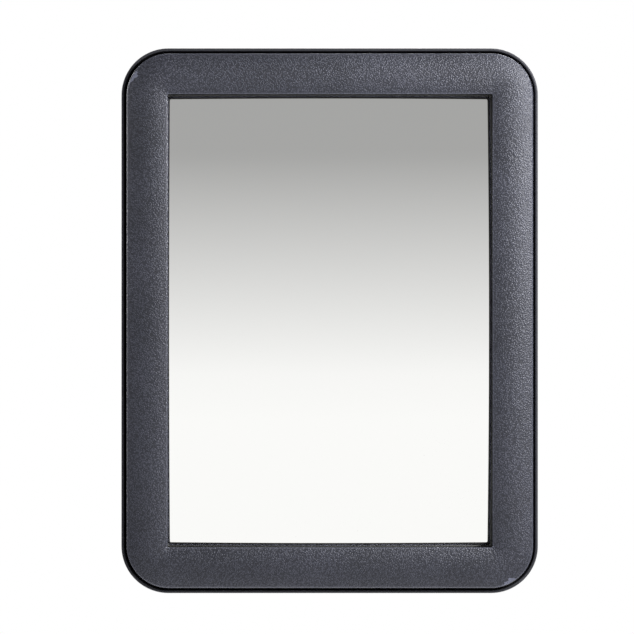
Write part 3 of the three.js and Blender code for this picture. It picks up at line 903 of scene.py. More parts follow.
# %% Knob: turned blank, finger hollows, rounded edges, socket
LOBES = 6
HOLLOW_RADIUS = 4.6 * MM
HOLLOW_CENTRE = 13.4 * MM
collar_end = knob_from + 3.2 * MM
knob = turn_profile([
    (0, knob_from), (6.5 * MM, knob_from), (7 * MM, knob_from + 0.5 * MM),
    (7.2 * MM, collar_end), (knob_radius - 0.4 * MM, collar_end + 0.4 * MM),
    (knob_radius, collar_end + 1.6 * MM), (knob_radius, knob_to - 2 * MM),
    (knob_radius - 0.5 * MM, knob_to - 0.9 * MM), (knob_radius - 1.8 * MM, knob_to - 0.25 * MM),
    (5.4 * MM, knob_to), (5 * MM, knob_to - 0.1 * MM), (4.6 * MM, knob_to - 0.6 * MM),
    (0, knob_to - 0.8 * MM)], steps=96)
for i in range(LOBES):
    turn = 4 * QUARTER * (i + 0.5) / LOBES
    hollow = bar(
        HOLLOW_RADIUS, collar_end + 0.1 * MM, knob_to + 2 * MM, HOLLOW_CENTRE * math.cos(turn),
        HOLLOW_CENTRE * math.sin(turn), sides=48)
    cut_or_join(knob, hollow, "DIFFERENCE")
socket = bar(insert_radius + 0.3 * MM, knob_from - 1 * MM, insert_to + 0.3 * MM, sides=48)
cut_or_join(knob, socket, "DIFFERENCE")
edit(knob)
close_mesh()
soften_edges(knob, 0.7 * MM, 4, sharper_than=35)

# %% Bush: turned sleeve with a grooved outside
bush_bore = SHANK + 0.2 * MM
chamfer = 0.3 * MM
bush = turn_profile([
    (bush_bore, insert_from), (insert_radius - chamfer, insert_from),
    (insert_radius, insert_from + chamfer), (insert_radius, insert_to - chamfer),
    (insert_radius - chamfer, insert_to), (bush_bore, insert_to), (bush_bore, insert_from)])
GROOVES = 24
GROOVE_RADIUS = 0.28 * MM
groove_circle = insert_radius + 0.1 * MM
grooves = []
for i in range(GROOVES):
    turn = 4 * QUARTER * i / GROOVES
    grooves.append(bar(
        GROOVE_RADIUS, insert_from + 1 * MM, insert_to - 1 * MM,
        groove_circle * math.cos(turn), groove_circle * math.sin(turn), sides=8))
cut_or_join(bush, joined(grooves), "DIFFERENCE")
print("knob faces:", len(knob.data.polygons), "bush faces:", len(bush.data.polygons))

# %% [markdown]
# ## Materials
#
# Every finish is a small node tree on object coordinates, in metres, so a grain of one millimetre
# is a texture of scale 1000. The pattern lives in the piece and goes where the piece goes. Each
# tree has frames that say what a group of nodes does: grain, colour, gloss, wear.

# %% An empty material to fill with nodes
finishes = {}


def new_finish(slot):
    """A material for this slot of the record, with its node tree emptied."""
    material = bpy.data.materials.new(f"{slot}_finish")
    material.use_nodes = True
    material.node_tree.nodes.clear()
    finishes[slot] = material
    return material


# %% [markdown]
# ### Moulded plastic with a spark-eroded grain
#
# The bezel's mould was spark-eroded or etched, so the face is covered in tiny pebbles a little
# under a millimetre across, with a finer bite on top. The pebbles are Voronoi cells whose
# coordinates are pushed about by noise, because even cells look like a honeycomb. Their height
# drives the bump, and it also drives the gloss: tops are rubbed smoother than the valleys. The
# same tree serves the tray and the knobs with a finer, flatter grain.

# %% Moulded plastic
def moulded_plastic(name, tone, light_tone, grain, relief, roughness, shine, dust):
    """tone and light_tone are valley and top colours, grain the pebble size and relief its
    height in metres, shine the strength of reflection, and dust the share of pale dust on
    upward faces."""
    material = new_finish(name)
    nodes, links = material.node_tree.nodes, material.node_tree.links

    grain_frame = nodes.new("NodeFrame")
    grain_frame.label = "Grain: pushed Voronoi pebbles and a fine bite"
    where = nodes.new("ShaderNodeTexCoord")
    where.label = "Place on the piece"
    centred = nodes.new("ShaderNodeMapping")
    centred.label = "Pattern's place and turn"
    push = nodes.new("ShaderNodeTexNoise")
    push.label = "Push that breaks up the cells"
    push_amount = nodes.new("ShaderNodeVectorMath")
    push_amount.label = "Push of about one pebble"
    pushed = nodes.new("ShaderNodeVectorMath")
    pushed.label = "Pushed place"
    pebbles = nodes.new("ShaderNodeTexVoronoi")
    pebbles.label = "Pebbles of the grain"
    pebble_height = nodes.new("ShaderNodeMapRange")
    pebble_height.label = "Rounded pebble tops"
    bite = nodes.new("ShaderNodeTexNoise")
    bite.label = "Fine bite on the pebbles"
    relief_sum = nodes.new("ShaderNodeMix")
    relief_sum.label = "Relief: pebbles and bite"
    grain_bump = nodes.new("ShaderNodeBump")
    grain_bump.label = "Grain as relief"
    for node, spot in (
            (where, (-1900, 200)), (centred, (-1700, 200)), (push, (-1480, 0)),
            (push_amount, (-1280, 0)), (pushed, (-1080, 200)), (pebbles, (-880, 300)),
            (pebble_height, (-680, 300)), (bite, (-880, 20)), (relief_sum, (-480, 200)),
            (grain_bump, (-240, 0))):
        node.parent = grain_frame
        node.location = spot

    colour_frame = nodes.new("NodeFrame")
    colour_frame.label = "Colour: valleys and tops, flow marks, dust"
    grain_colour = nodes.new("ShaderNodeMix")
    grain_colour.label = "Valley to top colour"
    flow = nodes.new("ShaderNodeTexNoise")
    flow.label = "Broad flow marks of the moulding"
    flow_range = nodes.new("ShaderNodeMapRange")
    flow_range.label = "Flow marks change the tone a little"
    flow_colour = nodes.new("ShaderNodeHueSaturation")
    flow_colour.label = "Tone with flow marks"
    up_face = nodes.new("ShaderNodeSeparateXYZ")
    up_face.label = "How far the face looks up"
    dust_lie = nodes.new("ShaderNodeMapRange")
    dust_lie.label = "Dust lies on upward faces"
    dust_patches = nodes.new("ShaderNodeMath")
    dust_patches.label = "Dust in patches"
    dusty = nodes.new("ShaderNodeMix")
    dusty.label = "Colour with dust"
    for node, spot in (
            (grain_colour, (-240, 500)), (flow, (-480, 800)), (flow_range, (-260, 800)),
            (flow_colour, (0, 600)), (up_face, (-480, 1100)), (dust_lie, (-260, 1100)),
            (dust_patches, (0, 1000)), (dusty, (220, 600))):
        node.parent = colour_frame
        node.location = spot

    gloss_frame = nodes.new("NodeFrame")
    gloss_frame.label = "Gloss: rubbed tops and handled patches"
    top_gloss = nodes.new("ShaderNodeMapRange")
    top_gloss.label = "Tops are smoother than valleys"
    handling = nodes.new("ShaderNodeTexNoise")
    handling.label = "Patches rubbed by handling"
    handling_range = nodes.new("ShaderNodeMapRange")
    handling_range.label = "How much handling changes the gloss"
    gloss = nodes.new("ShaderNodeMath")
    gloss.label = "Roughness of the surface"
    for node, spot in (
            (top_gloss, (-240, -300)), (handling, (-480, -560)), (handling_range, (-240, -560)),
            (gloss, (0, -400))):
        node.parent = gloss_frame
        node.location = spot

    wear_frame = nodes.new("NodeFrame")
    wear_frame.label = "Wear: edges rubbed paler"
    edge_shape = nodes.new("ShaderNodeNewGeometry")
    edge_shape.label = "Sharpness of the shape"
    edge_range = nodes.new("ShaderNodeMapRange")
    edge_range.label = "Only the outer edges"
    worn = nodes.new("ShaderNodeMix")
    worn.label = "Colour with rubbed edges"
    for node, spot in (
            (edge_shape, (220, 1000)), (edge_range, (420, 1000)), (worn, (640, 600))):
        node.parent = wear_frame
        node.location = spot

    plastic = nodes.new("ShaderNodeBsdfPrincipled")
    plastic.label = "Moulded plastic"
    plastic.location = (900, 200)
    surface = nodes.new("ShaderNodeOutputMaterial")
    surface.label = "Surface"
    surface.location = (1200, 200)

    push.inputs["Scale"].default_value = 0.45 / grain
    push.inputs["Detail"].default_value = 1.0
    push_amount.operation = "SCALE"
    push_amount.inputs["Scale"].default_value = 0.9 * grain
    pushed.operation = "ADD"
    pebbles.feature = "F1"
    pebbles.inputs["Scale"].default_value = 1 / grain
    pebbles.inputs["Randomness"].default_value = 1.0
    pebble_height.interpolation_type = "SMOOTHSTEP"
    pebble_height.inputs["From Min"].default_value = 0.75
    pebble_height.inputs["From Max"].default_value = 0.05
    bite.inputs["Scale"].default_value = 2.6 / grain
    bite.inputs["Detail"].default_value = 3.0
    bite.inputs["Roughness"].default_value = 0.6
    relief_sum.data_type = "FLOAT"
    relief_sum.inputs["Factor"].default_value = 0.35
    grain_bump.inputs["Strength"].default_value = 1.0
    grain_bump.inputs["Distance"].default_value = relief
    grain_colour.data_type = "RGBA"
    grain_colour.inputs[6].default_value = (*tone, 1)
    grain_colour.inputs[7].default_value = (*light_tone, 1)
    flow.inputs["Scale"].default_value = 45
    flow.inputs["Detail"].default_value = 4.0
    flow_range.inputs["From Min"].default_value = 0.3
    flow_range.inputs["From Max"].default_value = 0.7
    flow_range.inputs["To Min"].default_value = 0.75
    flow_range.inputs["To Max"].default_value = 1.2
    dust_lie.inputs["From Min"].default_value = 0.2
    dust_lie.inputs["From Max"].default_value = 1.0
    dust_lie.inputs["To Max"].default_value = dust
    dust_patches.operation = "MULTIPLY"
    dusty.data_type = "RGBA"
    dusty.inputs[7].default_value = (0.32, 0.31, 0.29, 1)
    top_gloss.inputs["To Min"].default_value = roughness + 0.1
    top_gloss.inputs["To Max"].default_value = roughness - 0.08
    handling.inputs["Scale"].default_value = 60
    handling.inputs["Detail"].default_value = 4.0
    handling_range.inputs["To Min"].default_value = -0.1
    handling_range.inputs["To Max"].default_value = 0.1
    gloss.operation = "ADD"
    edge_range.inputs["From Min"].default_value = 0.508
    edge_range.inputs["From Max"].default_value = 0.53
    edge_range.inputs["To Max"].default_value = 0.6
    worn.data_type = "RGBA"
    worn.inputs[7].default_value = tuple(3 * c for c in light_tone) + (1,)
    plastic.inputs["Specular IOR Level"].default_value = shine
    plastic.inputs["Specular Tint"].default_value = (0.91, 0.92, 1.0, 1)

    links.new(where.outputs["Object"], centred.inputs["Vector"])
    links.new(centred.outputs["Vector"], push.inputs["Vector"])
    links.new(push.outputs["Color"], push_amount.inputs[0])
    links.new(centred.outputs["Vector"], pushed.inputs[0])
    links.new(push_amount.outputs["Vector"], pushed.inputs[1])
    links.new(pushed.outputs["Vector"], pebbles.inputs["Vector"])
    links.new(centred.outputs["Vector"], bite.inputs["Vector"])
    links.new(pebbles.outputs["Distance"], pebble_height.inputs["Value"])
    links.new(pebble_height.outputs["Result"], relief_sum.inputs[2])
    links.new(bite.outputs["Fac"], relief_sum.inputs[3])
    links.new(relief_sum.outputs[0], grain_bump.inputs["Height"])
    links.new(grain_bump.outputs["Normal"], plastic.inputs["Normal"])
    links.new(relief_sum.outputs[0], grain_colour.inputs["Factor"])
    links.new(centred.outputs["Vector"], flow.inputs["Vector"])
    links.new(flow.outputs["Fac"], flow_range.inputs["Value"])
    links.new(grain_colour.outputs[2], flow_colour.inputs["Color"])
    links.new(flow_range.outputs["Result"], flow_colour.inputs["Value"])
    links.new(where.outputs["Normal"], up_face.inputs["Vector"])
    links.new(up_face.outputs["Z"], dust_lie.inputs["Value"])
    links.new(dust_lie.outputs["Result"], dust_patches.inputs[0])
    links.new(flow.outputs["Fac"], dust_patches.inputs[1])
    links.new(dust_patches.outputs["Value"], dusty.inputs["Factor"])
    links.new(flow_colour.outputs["Color"], dusty.inputs[6])
    links.new(edge_shape.outputs["Pointiness"], edge_range.inputs["Value"])
    links.new(edge_range.outputs["Result"], worn.inputs["Factor"])
    links.new(dusty.outputs[2], worn.inputs[6])
    links.new(worn.outputs[2], plastic.inputs["Base Color"])
    links.new(relief_sum.outputs[0], top_gloss.inputs["Value"])
    links.new(centred.outputs["Vector"], handling.inputs["Vector"])
    links.new(handling.outputs["Fac"], handling_range.inputs["Value"])
    links.new(top_gloss.outputs["Result"], gloss.inputs[0])
    links.new(handling_range.outputs["Result"], gloss.inputs[1])
    links.new(gloss.outputs["Value"], plastic.inputs["Roughness"])
    links.new(plastic.outputs["BSDF"], surface.inputs["Surface"])


moulded_plastic(
    "bezel_plastic", tone=(0.004, 0.0043, 0.0065), light_tone=(0.05, 0.0525, 0.072),
    grain=0.6 * MM, relief=0.14 * MM, roughness=0.42, shine=0.5, dust=0.06)
moulded_plastic(
    "tray_plastic", tone=(0.006, 0.0061, 0.0072), light_tone=(0.018, 0.0183, 0.021),
    grain=0.7 * MM, relief=0.04 * MM, roughness=0.45, shine=0.3, dust=0.14)
moulded_plastic(
    "knob_plastic", tone=(0.010, 0.010, 0.011), light_tone=(0.022, 0.022, 0.024),
    grain=0.5 * MM, relief=0.012 * MM, roughness=0.42, shine=0.5, dust=0.08)
print("moulded plastics made")

# %% [markdown]
# ### Silvered glass
#
# Only the silver behind the glass is seen from the front, so the front is a polished metal with a
# faint smear here and there. The ground edge is pale green frosted glass, and the back carries a
# grey protective paint. Where each belongs is read from the normal and from the place.

# %% Mirror pane
mirror_glass = new_finish("mirror_glass")
nodes, links = mirror_glass.node_tree.nodes, mirror_glass.node_tree.links
mask_frame = nodes.new("NodeFrame")
mask_frame.label = "Where: front, ground edge, painted back"
where = nodes.new("ShaderNodeTexCoord")
where.label = "Place on the pane"
facing = nodes.new("ShaderNodeSeparateXYZ")
facing.label = "Which way the face looks"
back_mask = nodes.new("ShaderNodeMath")
back_mask.label = "One on the painted back"
front_mask = nodes.new("ShaderNodeMath")
front_mask.label = "One on the silvered front"
for node, spot in (
        (where, (-1500, 200)), (facing, (-1300, 500)), (back_mask, (-1080, 600)),
        (front_mask, (-1080, 400))):
    node.parent = mask_frame
    node.location = spot
smear_frame = nodes.new("NodeFrame")
smear_frame.label = "Smears and dust on the front"
wiped = nodes.new("ShaderNodeMapping")
wiped.label = "Smears follow the wiping cloth"
smear = nodes.new("ShaderNodeTexNoise")
smear.label = "Wiped smears"
smear_gloss = nodes.new("ShaderNodeMapRange")
smear_gloss.label = "A smear blurs a little"
dust = nodes.new("ShaderNodeTexVoronoi")
dust.label = "Single specks of dust"
speck = nodes.new("ShaderNodeMapRange")
speck.label = "Only the heart of some cells"
speck_colour = nodes.new("ShaderNodeMix")
speck_colour.label = "Silver dimmed by specks"
for node, spot in (
        (wiped, (-1300, 0)), (smear, (-1080, 60)), (smear_gloss, (-860, 60)),
        (dust, (-1080, -240)), (speck, (-860, -240)), (speck_colour, (-620, 100))):
    node.parent = smear_frame
    node.location = spot
paint_frame = nodes.new("NodeFrame")
paint_frame.label = "Paint on the back, ground edge"
drips = nodes.new("ShaderNodeTexNoise")
drips.label = "Uneven curtain coating"
paint_colour = nodes.new("ShaderNodeMix")
paint_colour.label = "Thin and thick paint"
edge_or_paint = nodes.new("ShaderNodeMix")
edge_or_paint.label = "Green edge or grey paint"
paint_bump = nodes.new("ShaderNodeBump")
paint_bump.label = "Texture of paint and grinding"
for node, spot in (
        (drips, (-620, -500)), (paint_colour, (-400, -500)), (edge_or_paint, (-180, -300)),
        (paint_bump, (-180, -600))):
    node.parent = paint_frame
    node.location = spot
silver = nodes.new("ShaderNodeBsdfPrincipled")
silver.label = "Silver seen through glass"
silver.location = (-180, 200)
rest_of_pane = nodes.new("ShaderNodeBsdfPrincipled")
rest_of_pane.label = "Edge and painted back"
rest_of_pane.location = (60, -200)
pane_mix = nodes.new("ShaderNodeMixShader")
pane_mix.label = "Front or the rest"
pane_mix.location = (360, 100)
surface = nodes.new("ShaderNodeOutputMaterial")
surface.label = "Surface"
surface.location = (560, 100)
back_mask.operation = "GREATER_THAN"
back_mask.inputs[1].default_value = 0.7
front_mask.operation = "LESS_THAN"
front_mask.inputs[1].default_value = -0.9
wiped.inputs["Rotation"].default_value = (0, math.radians(24), 0)
wiped.inputs["Scale"].default_value = (9, 9, 46)
smear.inputs["Scale"].default_value = 1.6
smear.inputs["Detail"].default_value = 5.0
smear_gloss.inputs["From Min"].default_value = 0.45
smear_gloss.inputs["From Max"].default_value = 0.8
smear_gloss.inputs["To Min"].default_value = 0.012
smear_gloss.inputs["To Max"].default_value = 0.05
dust.inputs["Scale"].default_value = 95
speck.inputs["From Min"].default_value = 0.028
speck.inputs["From Max"].default_value = 0.0
speck.inputs["To Max"].default_value = 0.35
speck_colour.data_type = "RGBA"
speck_colour.inputs[6].default_value = (0.957, 0.957, 0.945, 1)
speck_colour.inputs[7].default_value = (0.62, 0.61, 0.58, 1)
drips.inputs["Scale"].default_value = 240
drips.inputs["Detail"].default_value = 6.0
paint_colour.data_type = "RGBA"
paint_colour.inputs[6].default_value = (0.085, 0.09, 0.095, 1)
paint_colour.inputs[7].default_value = (0.14, 0.145, 0.15, 1)
edge_or_paint.data_type = "RGBA"
edge_or_paint.inputs[6].default_value = (0.33, 0.43, 0.38, 1)
paint_bump.inputs["Strength"].default_value = 0.6
paint_bump.inputs["Distance"].default_value = 0.05 * MM
silver.inputs["Metallic"].default_value = 1.0
rest_of_pane.inputs["Roughness"].default_value = 0.55
links.new(where.outputs["Normal"], facing.inputs["Vector"])
links.new(facing.outputs["Y"], back_mask.inputs[0])
links.new(facing.outputs["Y"], front_mask.inputs[0])
links.new(where.outputs["Object"], wiped.inputs["Vector"])
links.new(wiped.outputs["Vector"], smear.inputs["Vector"])
links.new(smear.outputs["Fac"], smear_gloss.inputs["Value"])
links.new(where.outputs["Object"], dust.inputs["Vector"])
links.new(dust.outputs["Distance"], speck.inputs["Value"])
links.new(speck.outputs["Result"], speck_colour.inputs["Factor"])
links.new(speck_colour.outputs[2], silver.inputs["Base Color"])
links.new(smear_gloss.outputs["Result"], silver.inputs["Roughness"])
links.new(where.outputs["Object"], drips.inputs["Vector"])
links.new(drips.outputs["Fac"], paint_colour.inputs["Factor"])
links.new(paint_colour.outputs[2], edge_or_paint.inputs[7])
links.new(back_mask.outputs["Value"], edge_or_paint.inputs["Factor"])
links.new(edge_or_paint.outputs[2], rest_of_pane.inputs["Base Color"])
links.new(drips.outputs["Fac"], paint_bump.inputs["Height"])
links.new(paint_bump.outputs["Normal"], rest_of_pane.inputs["Normal"])
links.new(front_mask.outputs["Value"], pane_mix.inputs["Fac"])
links.new(rest_of_pane.outputs["BSDF"], pane_mix.inputs[1])
links.new(silver.outputs["BSDF"], pane_mix.inputs[2])
links.new(pane_mix.outputs["Shader"], surface.inputs["Surface"])
print("mirror glass made")

# %% [markdown]
# ### Plated and turned metals
#
# Zinc plating on steel and plain brass share one make-up: a metal whose tone is mottled, whose
# gloss changes from patch to patch, with fine tool marks across it and a darker stain in the
# hollows. The hollows come from the shape's own sharpness.

# %% Plated steel and brass
def plated_metal(name, bright, stained, roughness, mottle_size, tool_marks):
    """bright and stained are colours, mottle_size in metres, tool_marks the relief in metres."""
    material = new_finish(name)
    nodes, links = material.node_tree.nodes, material.node_tree.links
    mottle_frame = nodes.new("NodeFrame")
    mottle_frame.label = "Colour: mottled plating, stained hollows, bright edges"
    where = nodes.new("ShaderNodeTexCoord")
    where.label = "Place on the piece"
    mottle = nodes.new("ShaderNodeTexNoise")
    mottle.label = "Mottled plating"
    spangle = nodes.new("ShaderNodeTexVoronoi")
    spangle.label = "Crystals of the plating"
    tone = nodes.new("ShaderNodeMix")
    tone.label = "Bright to stained"
    stain_range = nodes.new("ShaderNodeMapRange")
    stain_range.label = "How much mottle shows"
    shape = nodes.new("ShaderNodeNewGeometry")
    shape.label = "Sharpness of the shape"
    hollow = nodes.new("ShaderNodeMapRange")
    hollow.label = "Only the hollows"
    grimy = nodes.new("ShaderNodeMix")
    grimy.label = "Colour with grime in hollows"
    for node, spot in (
            (where, (-1300, 200)), (mottle, (-1060, 300)), (spangle, (-1060, 0)),
            (tone, (-600, 400)), (stain_range, (-820, 400)), (shape, (-820, 760)),
            (hollow, (-600, 760)), (grimy, (-360, 460))):
        node.parent = mottle_frame
        node.location = spot
    relief_frame = nodes.new("NodeFrame")
    relief_frame.label = "Gloss and tool marks"
    stretched = nodes.new("ShaderNodeMapping")
    stretched.label = "Marks run across the piece"
    marks = nodes.new("ShaderNodeTexNoise")
    marks.label = "Tool marks"
    gloss = nodes.new("ShaderNodeMapRange")
    gloss.label = "Crystals differ in gloss"
    mark_bump = nodes.new("ShaderNodeBump")
    mark_bump.label = "Tool marks as relief"
    for node, spot in (
            (stretched, (-1060, -360)), (marks, (-820, -360)), (gloss, (-600, 0)),
            (mark_bump, (-360, -360))):
        node.parent = relief_frame
        node.location = spot
    metal = nodes.new("ShaderNodeBsdfPrincipled")
    metal.label = "Plated metal"
    metal.location = (-60, 200)
    surface = nodes.new("ShaderNodeOutputMaterial")
    surface.label = "Surface"
    surface.location = (240, 200)
    mottle.inputs["Scale"].default_value = 1 / mottle_size
    mottle.inputs["Detail"].default_value = 4.0
    spangle.inputs["Scale"].default_value = 4 / mottle_size
    stain_range.inputs["From Min"].default_value = 0.35
    stain_range.inputs["From Max"].default_value = 0.75
    tone.data_type = "RGBA"
    tone.inputs[6].default_value = (*bright, 1)
    tone.inputs[7].default_value = (*stained, 1)
    hollow.inputs["From Min"].default_value = 0.48
    hollow.inputs["From Max"].default_value = 0.38
    hollow.inputs["To Max"].default_value = 0.4
    grimy.data_type = "RGBA"
    grimy.inputs[7].default_value = tuple(0.25 * c for c in stained) + (1,)
    stretched.inputs["Scale"].default_value = (300, 2600, 300)
    marks.inputs["Scale"].default_value = 1.0
    marks.inputs["Detail"].default_value = 3.0
    gloss.inputs["To Min"].default_value = roughness - 0.08
    gloss.inputs["To Max"].default_value = roughness + 0.12
    mark_bump.inputs["Strength"].default_value = 0.5
    mark_bump.inputs["Distance"].default_value = tool_marks
    metal.inputs["Metallic"].default_value = 1.0
    links.new(where.outputs["Object"], mottle.inputs["Vector"])
    links.new(where.outputs["Object"], spangle.inputs["Vector"])
    links.new(mottle.outputs["Fac"], stain_range.inputs["Value"])
    links.new(stain_range.outputs["Result"], tone.inputs["Factor"])
    links.new(shape.outputs["Pointiness"], hollow.inputs["Value"])
    links.new(hollow.outputs["Result"], grimy.inputs["Factor"])
    links.new(tone.outputs[2], grimy.inputs[6])
    links.new(grimy.outputs[2], metal.inputs["Base Color"])
    links.new(where.outputs["Object"], stretched.inputs["Vector"])
    links.new(stretched.outputs["Vector"], marks.inputs["Vector"])
    links.new(marks.outputs["Fac"], mark_bump.inputs["Height"])
    links.new(mark_bump.outputs["Normal"], metal.inputs["Normal"])
    links.new(spangle.outputs["Color"], gloss.inputs["Value"])
    links.new(gloss.outputs["Result"], metal.inputs["Roughness"])
    links.new(metal.outputs["BSDF"], surface.inputs["Surface"])


plated_metal(
    "zinc_steel", bright=(0.66, 0.67, 0.68), stained=(0.56, 0.56, 0.54), roughness=0.3,
    mottle_size=2.2 * MM, tool_marks=0.012 * MM)
plated_metal(
    "insert_brass", bright=(0.78, 0.57, 0.26), stained=(0.52, 0.35, 0.15), roughness=0.32,
    mottle_size=1.8 * MM, tool_marks=0.015 * MM)
print("plated metals made")

# %% [markdown]
# ### Powder coat
#
# The bracket's castings are powder coated black. A powder coat melts into a skin with a soft
# orange-peel swell of about a millimetre, and a finer one on it. It thins on sharp edges, where
# knocks rub the powder grey.

# %% Bracket coat
bracket_coat = new_finish("bracket_coat")
nodes, links = bracket_coat.node_tree.nodes, bracket_coat.node_tree.links
peel_frame = nodes.new("NodeFrame")
peel_frame.label = "Orange peel of the melted powder"
where = nodes.new("ShaderNodeTexCoord")
where.label = "Place on the casting"
swell = nodes.new("ShaderNodeTexNoise")
swell.label = "Broad swell"
fine_swell = nodes.new("ShaderNodeTexNoise")
fine_swell.label = "Fine swell"
skin = nodes.new("ShaderNodeMix")
skin.label = "Skin height"
peel_bump = nodes.new("ShaderNodeBump")
peel_bump.label = "Skin as relief"
skin_gloss = nodes.new("ShaderNodeMapRange")
skin_gloss.label = "Gloss changes with the skin"
for node, spot in (
        (where, (-1300, 0)), (swell, (-1060, -100)), (fine_swell, (-1060, -400)),
        (skin, (-820, -200)), (peel_bump, (-560, -260)), (skin_gloss, (-560, 0))):
    node.parent = peel_frame
    node.location = spot
chip_frame = nodes.new("NodeFrame")
chip_frame.label = "Colour and rubbed edges"
speckle = nodes.new("ShaderNodeTexNoise")
speckle.label = "Uneven pigment"
pigment = nodes.new("ShaderNodeMix")
pigment.label = "Black of the powder"
shape = nodes.new("ShaderNodeNewGeometry")
shape.label = "Sharpness of the shape"
sharp = nodes.new("ShaderNodeMapRange")
sharp.label = "Only sharp edges"
knocks = nodes.new("ShaderNodeTexNoise")
knocks.label = "Where knocks fell"
chip = nodes.new("ShaderNodeMath")
chip.label = "Edge and knock together"
chip_edge = nodes.new("ShaderNodeMath")
chip_edge.label = "Rubbed or not"
chipped = nodes.new("ShaderNodeMix")
chipped.label = "Powder or rubbed grey"
for node, spot in (
        (speckle, (-1060, 300)), (pigment, (-560, 300)), (shape, (-1060, 860)),
        (sharp, (-820, 860)), (knocks, (-1060, 600)), (chip, (-560, 760)),
        (chip_edge, (-360, 760)), (chipped, (-160, 400))):
    node.parent = chip_frame
    node.location = spot
coat = nodes.new("ShaderNodeBsdfPrincipled")
coat.label = "Powder coat"
coat.location = (120, 200)
surface = nodes.new("ShaderNodeOutputMaterial")
surface.label = "Surface"
surface.location = (420, 200)
swell.inputs["Scale"].default_value = 1000
swell.inputs["Detail"].default_value = 1.0
fine_swell.inputs["Scale"].default_value = 3400
skin.inputs["Factor"].default_value = 0.3
peel_bump.inputs["Strength"].default_value = 0.8
peel_bump.inputs["Distance"].default_value = 0.07 * MM
skin_gloss.inputs["To Min"].default_value = 0.3
skin_gloss.inputs["To Max"].default_value = 0.46
speckle.inputs["Scale"].default_value = 420
pigment.data_type = "RGBA"
pigment.inputs[6].default_value = (0.011, 0.011, 0.012, 1)
pigment.inputs[7].default_value = (0.022, 0.022, 0.024, 1)
sharp.inputs["From Min"].default_value = 0.57
sharp.inputs["From Max"].default_value = 0.68
knocks.inputs["Scale"].default_value = 520
knocks.inputs["Detail"].default_value = 4.0
chip.operation = "MULTIPLY"
chip_edge.operation = "GREATER_THAN"
chip_edge.inputs[1].default_value = 0.6
chipped.data_type = "RGBA"
chipped.inputs[7].default_value = (0.075, 0.075, 0.078, 1)
links.new(where.outputs["Object"], swell.inputs["Vector"])
links.new(where.outputs["Object"], fine_swell.inputs["Vector"])
links.new(swell.outputs["Fac"], skin.inputs[2])
links.new(fine_swell.outputs["Fac"], skin.inputs[3])
links.new(skin.outputs[0], peel_bump.inputs["Height"])
links.new(peel_bump.outputs["Normal"], coat.inputs["Normal"])
links.new(skin.outputs[0], skin_gloss.inputs["Value"])
links.new(skin_gloss.outputs["Result"], coat.inputs["Roughness"])
links.new(where.outputs["Object"], speckle.inputs["Vector"])
links.new(speckle.outputs["Fac"], pigment.inputs["Factor"])
links.new(shape.outputs["Pointiness"], sharp.inputs["Value"])
links.new(where.outputs["Object"], knocks.inputs["Vector"])
links.new(sharp.outputs["Result"], chip.inputs[0])
links.new(knocks.outputs["Fac"], chip.inputs[1])
links.new(chip.outputs["Value"], chip_edge.inputs[0])
links.new(chip_edge.outputs["Value"], chipped.inputs["Factor"])
links.new(pigment.outputs[2], chipped.inputs[6])
links.new(chipped.outputs[2], coat.inputs["Base Color"])
links.new(coat.outputs["BSDF"], surface.inputs["Surface"])
print("bracket coat made")

# %% [markdown]
# ### Rubber, nylon, foam and hardboard
#
# These four share one make-up: a matt body of two tones, mixed by a fine pattern that also gives
# the relief. What differs is the pattern's size and stretch, and how deep and pale it is. Rubber
# has a pale bloom on a black body, nylon is milky, foam is full of cells and hardboard is pressed
# from fibres that lie along the sheet.

